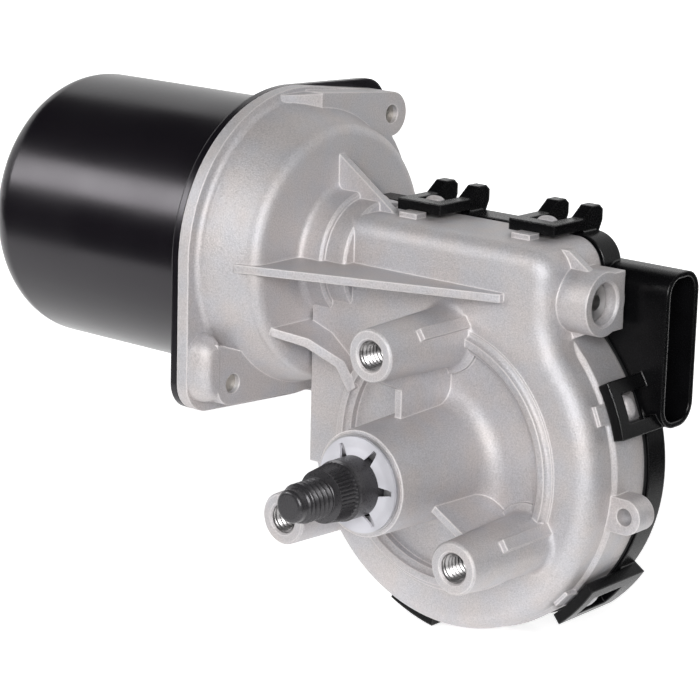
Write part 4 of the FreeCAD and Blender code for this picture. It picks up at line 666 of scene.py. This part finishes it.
class MOTOR_OT_spindle(Step):
    """The output shaft with its thread and knurl"""

    bl_idname = "motor.spindle"
    bl_label = "Output shaft"

    thread_start = spindle_tip + 2.4 * MM
    thread_end = thread_start + 6.4 * MM
    knurl_start = thread_end + 0.3 * MM
    knurl_end = thread_end + 4.8 * MM

    def turned(self):
        """Places along the shaft and its radius there: nose, thread, neck, cone, groove, shaft and stub."""
        nose, thread, shaft = 3.25 * MM, 3.95 * MM, 6.0 * MM
        cone_start, cone_end, cone_rows = 5.2 * MM, 5.75 * MM, 24
        rounding, bevel, step = 0.9 * MM, 0.3 * MM, 0.06 * MM
        groove, stub = shaft - 0.6 * MM, shaft - 2 * MM
        groove_end, shaft_start = self.knurl_end + 0.4 * MM, self.knurl_end + 0.7 * MM
        stub_start = spindle_end - 0.6 * MM
        run_in = 0.4 * MM
        curve = np.linspace(0, math.pi / 2, 9)
        on_thread = np.arange(self.thread_start - run_in, self.thread_end, step)
        bevel_ends = self.thread_start - bevel, self.thread_start + bevel
        profile = (
            (spindle_tip + rounding * (1 - np.cos(curve)), nose - rounding + rounding * np.sin(curve)),
            (on_thread, np.interp(on_thread, bevel_ends, (nose, thread))),
            ([self.thread_end], [thread - bevel]),
            (
                np.linspace(self.knurl_start, self.knurl_end, cone_rows),
                np.linspace(cone_start, cone_end, cone_rows),
            ),
            ([self.knurl_end, groove_end], [groove, groove]),
            ([shaft_start, stub_start], [shaft, shaft]),
            ([stub_start, spindle_end], [stub, stub]),
        )
        return [np.concatenate(part) for part in zip(*profile)]

    def make(self):
        """Radius over place and angle: the turned outline, less a winding groove and straight notches."""
        places, base = self.turned()
        columns = 240
        angle = all_round(columns)
        pitch, height = sizes().spindle_pitch, sizes().knurl_height
        thread_height, knurl_run_out = 0.6 * pitch, 0.5 * MM
        groove = 1 - ridge(places[:, None] / pitch + angle / TURN)
        notch = 1 - ridge(angle * sizes().knurl_teeth / TURN)
        radii = base[:, None]
        radii = radii - thread_height * fade(places, self.thread_start, self.thread_end, pitch / 2) * groove
        radii = radii - height * fade(places, self.knurl_start, self.knurl_end, knurl_run_out) * notch
        mesh = mesh_from_grid("output_shaft", around_y(places, radii, columns), capped=True)
        steel = metal("black_steel", colours().spindle, 0.2, 0.42, metallic=0.45)
        piece = add_piece("output_shaft_finished", mesh, "output_shaft", steel, smooth_angle=40)
        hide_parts("output_shaft")


class MOTOR_OT_spindle_rings(Step):
    """Star washer, rim washer, seal and thrust plug"""

    bl_idname = "motor.spindle_rings"
    bl_label = "Washers, seal and plug"

    def make(self):
        smoothed_node("star_washer", metal("star_plate", colours().star, 0.45, 0.6, metallic=0.1))
        smoothed_node("rim_washer", finish("rim_plate"))
        smoothed_node("shaft_seal_ring", moulded_plastic("ring_rubber", (0.012, 0.012, 0.012), 0.5, 0.6))
        smoothed_node("thrust_plug", finish("plug_steel"))


class MOTOR_OT_inside(Step):
    """Finishes of the pieces inside"""

    bl_idname = "motor.inside"
    bl_label = "Inner pieces"

    def make(self):
        for node, name in INNER_NODES.items():
            mesh = frame["nodes"][node].data
            mesh.materials.clear()
            mesh.materials.append(finish(name))


class MOTOR_OT_stage(Step):
    """The pale floor, the dark screens, the lamps and the surroundings"""

    bl_idname = "motor.stage"
    bl_label = "Studio"

    # Screens by name, each from one corner to the corner across, flat where both are level

    standing = {
        "flag_above": ((-1.6, -1.2, 0.9), (1.6, 0.45, 0.9)),
        "flag_before": ((-2.0, -0.9, -0.02), (1.3, -0.9, 1.5)),
        "flag_beside": ((0.9, -0.9, -0.02), (0.9, 0.9, 0.9)),
    }

    # Screens on the floor, which clear the object by their nearest edge and throw no shadow on the floor

    lying = {
        "flag_below": ((-2.0, -1.2), (1.6, -0.125)),
        "flag_right": ((0.09, -0.125), (1.6, 1.2)),
    }

    # Heights of those screens over the object's foot, and of the floor under it

    over_floor, under_foot = 1 * MM, 0.2 * MM

    def make(self):
        self.floor()
        self.surroundings()
        for name, (first, across) in self.standing.items():
            self.flag(name, first, across, shades=True)
        level = cad_box[0][2] + self.over_floor
        for name, (first, across) in self.lying.items():
            self.flag(name, (*first, level), (*across, level), shades=False)
        self.soft_lamp("lamp_left", studio().key_power, (-0.67, -0.63, 0.378), width=0.30, height=0.22)
        self.soft_lamp("lamp_right", studio().fill_power, (0.58, -0.74, 0.36), width=0.5, height=0.35)

    def floor(self):
        """A wide disc just under the object: its points lie at radius r and angle a."""
        level = cad_box[0][2] - self.under_foot
        radius = np.array([0, 0.2, 0.5, 1.5, 4.0])[:, None]
        angle = all_round(96)
        flat = np.full((len(radius), len(angle)), level)
        grid = np.stack((radius * np.cos(angle), radius * np.sin(angle), flat), axis=-1)
        mesh = mesh_from_grid("floor", grid)
        mesh.materials.append(self.floor_finish())
        floor = bpy.data.objects.new("floor", mesh)
        bpy.context.scene.collection.objects.link(floor)

    def floor_finish(self):
        """Matt and pale. For the eye and in reflections it turns into the surroundings' white further out."""
        near, far = 0.12, 0.30
        paint = {"Base_Color": (*studio().floor_colour, 1), "Roughness": 0.9, "Specular_IOR_Level": 0.0}
        material, tree, shader, place = new_material("pale_floor", **paint)
        distance = add_node(tree, "ShaderNodeVectorMath", {"operation": "LENGTH"}, _0=place).outputs["Value"]
        lift = ranged(tree, distance, studio().floor_lift, 1.0, near, far, "SMOOTHSTEP")
        lift = worked_out(tree, "MULTIPLY", lift, seen_directly(tree))
        white = add_node(tree, "ShaderNodeEmission", Color=(1, 1, 1, 1), Strength=lift)
        both = add_node(tree, "ShaderNodeAddShader", _0=shader.outputs[0], _1=white.outputs[0])
        feed(tree, tree.nodes["Material Output"], Surface=both.outputs[0])
        return material

    def flag(self, name, first, across, shades):
        """A dark screen that the camera doesn't see, but the gloss of the object does."""
        one, two = (axis for axis in range(3) if first[axis] != across[axis])
        beside, over = list(first), list(first)
        beside[one], over[two] = across[one], across[two]
        mesh = bpy.data.meshes.new(name)
        mesh.from_pydata([first, beside, across, over], [], [(0, 1, 2, 3)])
        paint = {"Base_Color": (*studio().flag_colour, 1), "Roughness": 0.9, "Specular_IOR_Level": 0.0}
        mesh.materials.append(new_material(name, **paint)[0])
        screen = bpy.data.objects.new(name, mesh)
        screen.visible_camera = False
        screen.visible_diffuse = screen.visible_shadow = shades
        bpy.context.scene.collection.objects.link(screen)

    def surroundings(self):
        """White for the eye and in reflections, and dimmer as light on the object."""
        world = bpy.data.worlds.new("surroundings")
        world.use_nodes = True
        bpy.context.scene.world = world
        tree = world.node_tree
        light = tree.nodes["Background"]
        light.inputs["Color"].default_value = (1, 1, 1, 1)
        light.inputs["Strength"].default_value = studio().sky
        white = add_node(tree, "ShaderNodeBackground", Color=(1, 1, 1, 1), Strength=1.0)
        seen = seen_directly(tree)
        mix = add_node(tree, "ShaderNodeMixShader", _0=seen, _1=light.outputs[0], _2=white.outputs[0])
        feed(tree, tree.nodes["World Output"], Surface=mix.outputs[0])

    def soft_lamp(self, name, watts, direction, width, height):
        """A lamp at a set distance from the object's middle, facing it."""
        distance = 0.8
        data = bpy.data.lights.new(name, "AREA")
        data.shape = "RECTANGLE"
        data.energy = watts
        data.size, data.size_y = width, height
        lamp = bpy.data.objects.new(name, data)
        bpy.context.scene.collection.objects.link(lamp)
        middle = Vector((low + high) / 2 for low, high in zip(*cad_box))
        lamp.location = middle + Vector(direction).normalized() * distance
        lamp.rotation_euler = (middle - lamp.location).to_track_quat("-Z", "Y").to_euler()


class MOTOR_OT_camera(Step):
    """The camera, at the viewing angle that fits the photograph"""

    bl_idname = "motor.camera"
    bl_label = "Camera"

    yaw, pitch, roll = 0.7036, 0.2493, 0.0230
    distance = 493.83 * MM
    beside, above = 3.1811 * MM, -25.451 * MM
    focal_pixels = 2558.2
    frame_pixels = 700

    def make(self):
        sin, cos = math.sin, math.cos
        yaw, pitch, roll = self.yaw, self.pitch, self.roll
        level = Vector((cos(yaw), sin(yaw), 0))
        upright = Vector((-sin(yaw) * sin(pitch), cos(yaw) * sin(pitch), cos(pitch)))
        ahead = Vector((-sin(yaw) * cos(pitch), cos(yaw) * cos(pitch), -sin(pitch)))
        right = cos(roll) * level + sin(roll) * upright
        up = cos(roll) * upright - sin(roll) * level
        place = -self.beside * right - self.above * up - self.distance * ahead
        data = bpy.data.cameras.new("camera")
        data.sensor_width = 36
        data.lens = self.focal_pixels * data.sensor_width / self.frame_pixels
        data.clip_end = 20
        camera = bpy.data.objects.new("camera", data)
        bpy.context.scene.collection.objects.link(camera)
        columns = (*right, 0), (*up, 0), (*(-ahead), 0), (*place, 1)
        camera.matrix_world = Matrix(columns).transposed()
        bpy.context.scene.camera = camera
        bpy.context.scene.view_settings.view_transform = "Standard"


OPERATORS = (
    MOTOR_OT_casting,
    MOTOR_OT_mount_threads,
    MOTOR_OT_can,
    MOTOR_OT_cover,
    MOTOR_OT_spindle,
    MOTOR_OT_spindle_rings,
    MOTOR_OT_inside,
    MOTOR_OT_stage,
    MOTOR_OT_camera,
)
GROUPS = {"motor_sizes": MotorSizes, "motor_colours": MotorColours, "studio_settings": StudioSettings}


class MOTOR_PT_panel(bpy.types.Panel):
    """Lists the steps, the sizes, the colours and the studio's settings"""

    bl_label = "Wiper motor"
    bl_space_type = "VIEW_3D"
    bl_region_type = "UI"
    bl_category = "Wiper motor"

    def draw(self, context):
        for operator in OPERATORS:
            self.layout.operator(operator.bl_idname)
        for name in GROUPS:
            settings = getattr(context.scene, name)
            box = self.layout.box()
            for label in settings.__annotations__:
                box.prop(settings, label)


def register():
    for group in GROUPS.values():
        bpy.utils.register_class(group)
    for name, group in GROUPS.items():
        setattr(bpy.types.Scene, name, PointerProperty(type=group))
    for operator in OPERATORS:
        bpy.utils.register_class(operator)
    bpy.utils.register_class(MOTOR_PT_panel)


def unregister():
    bpy.utils.unregister_class(MOTOR_PT_panel)
    for operator in reversed(OPERATORS):
        bpy.utils.unregister_class(operator)
    for name, group in GROUPS.items():
        delattr(bpy.types.Scene, name)
        bpy.utils.unregister_class(group)


def main():
    register()
    for operator in OPERATORS:
        group, name = operator.bl_idname.split(".")
        getattr(getattr(bpy.ops, group), name)()


if __name__ == "__main__":
    main()
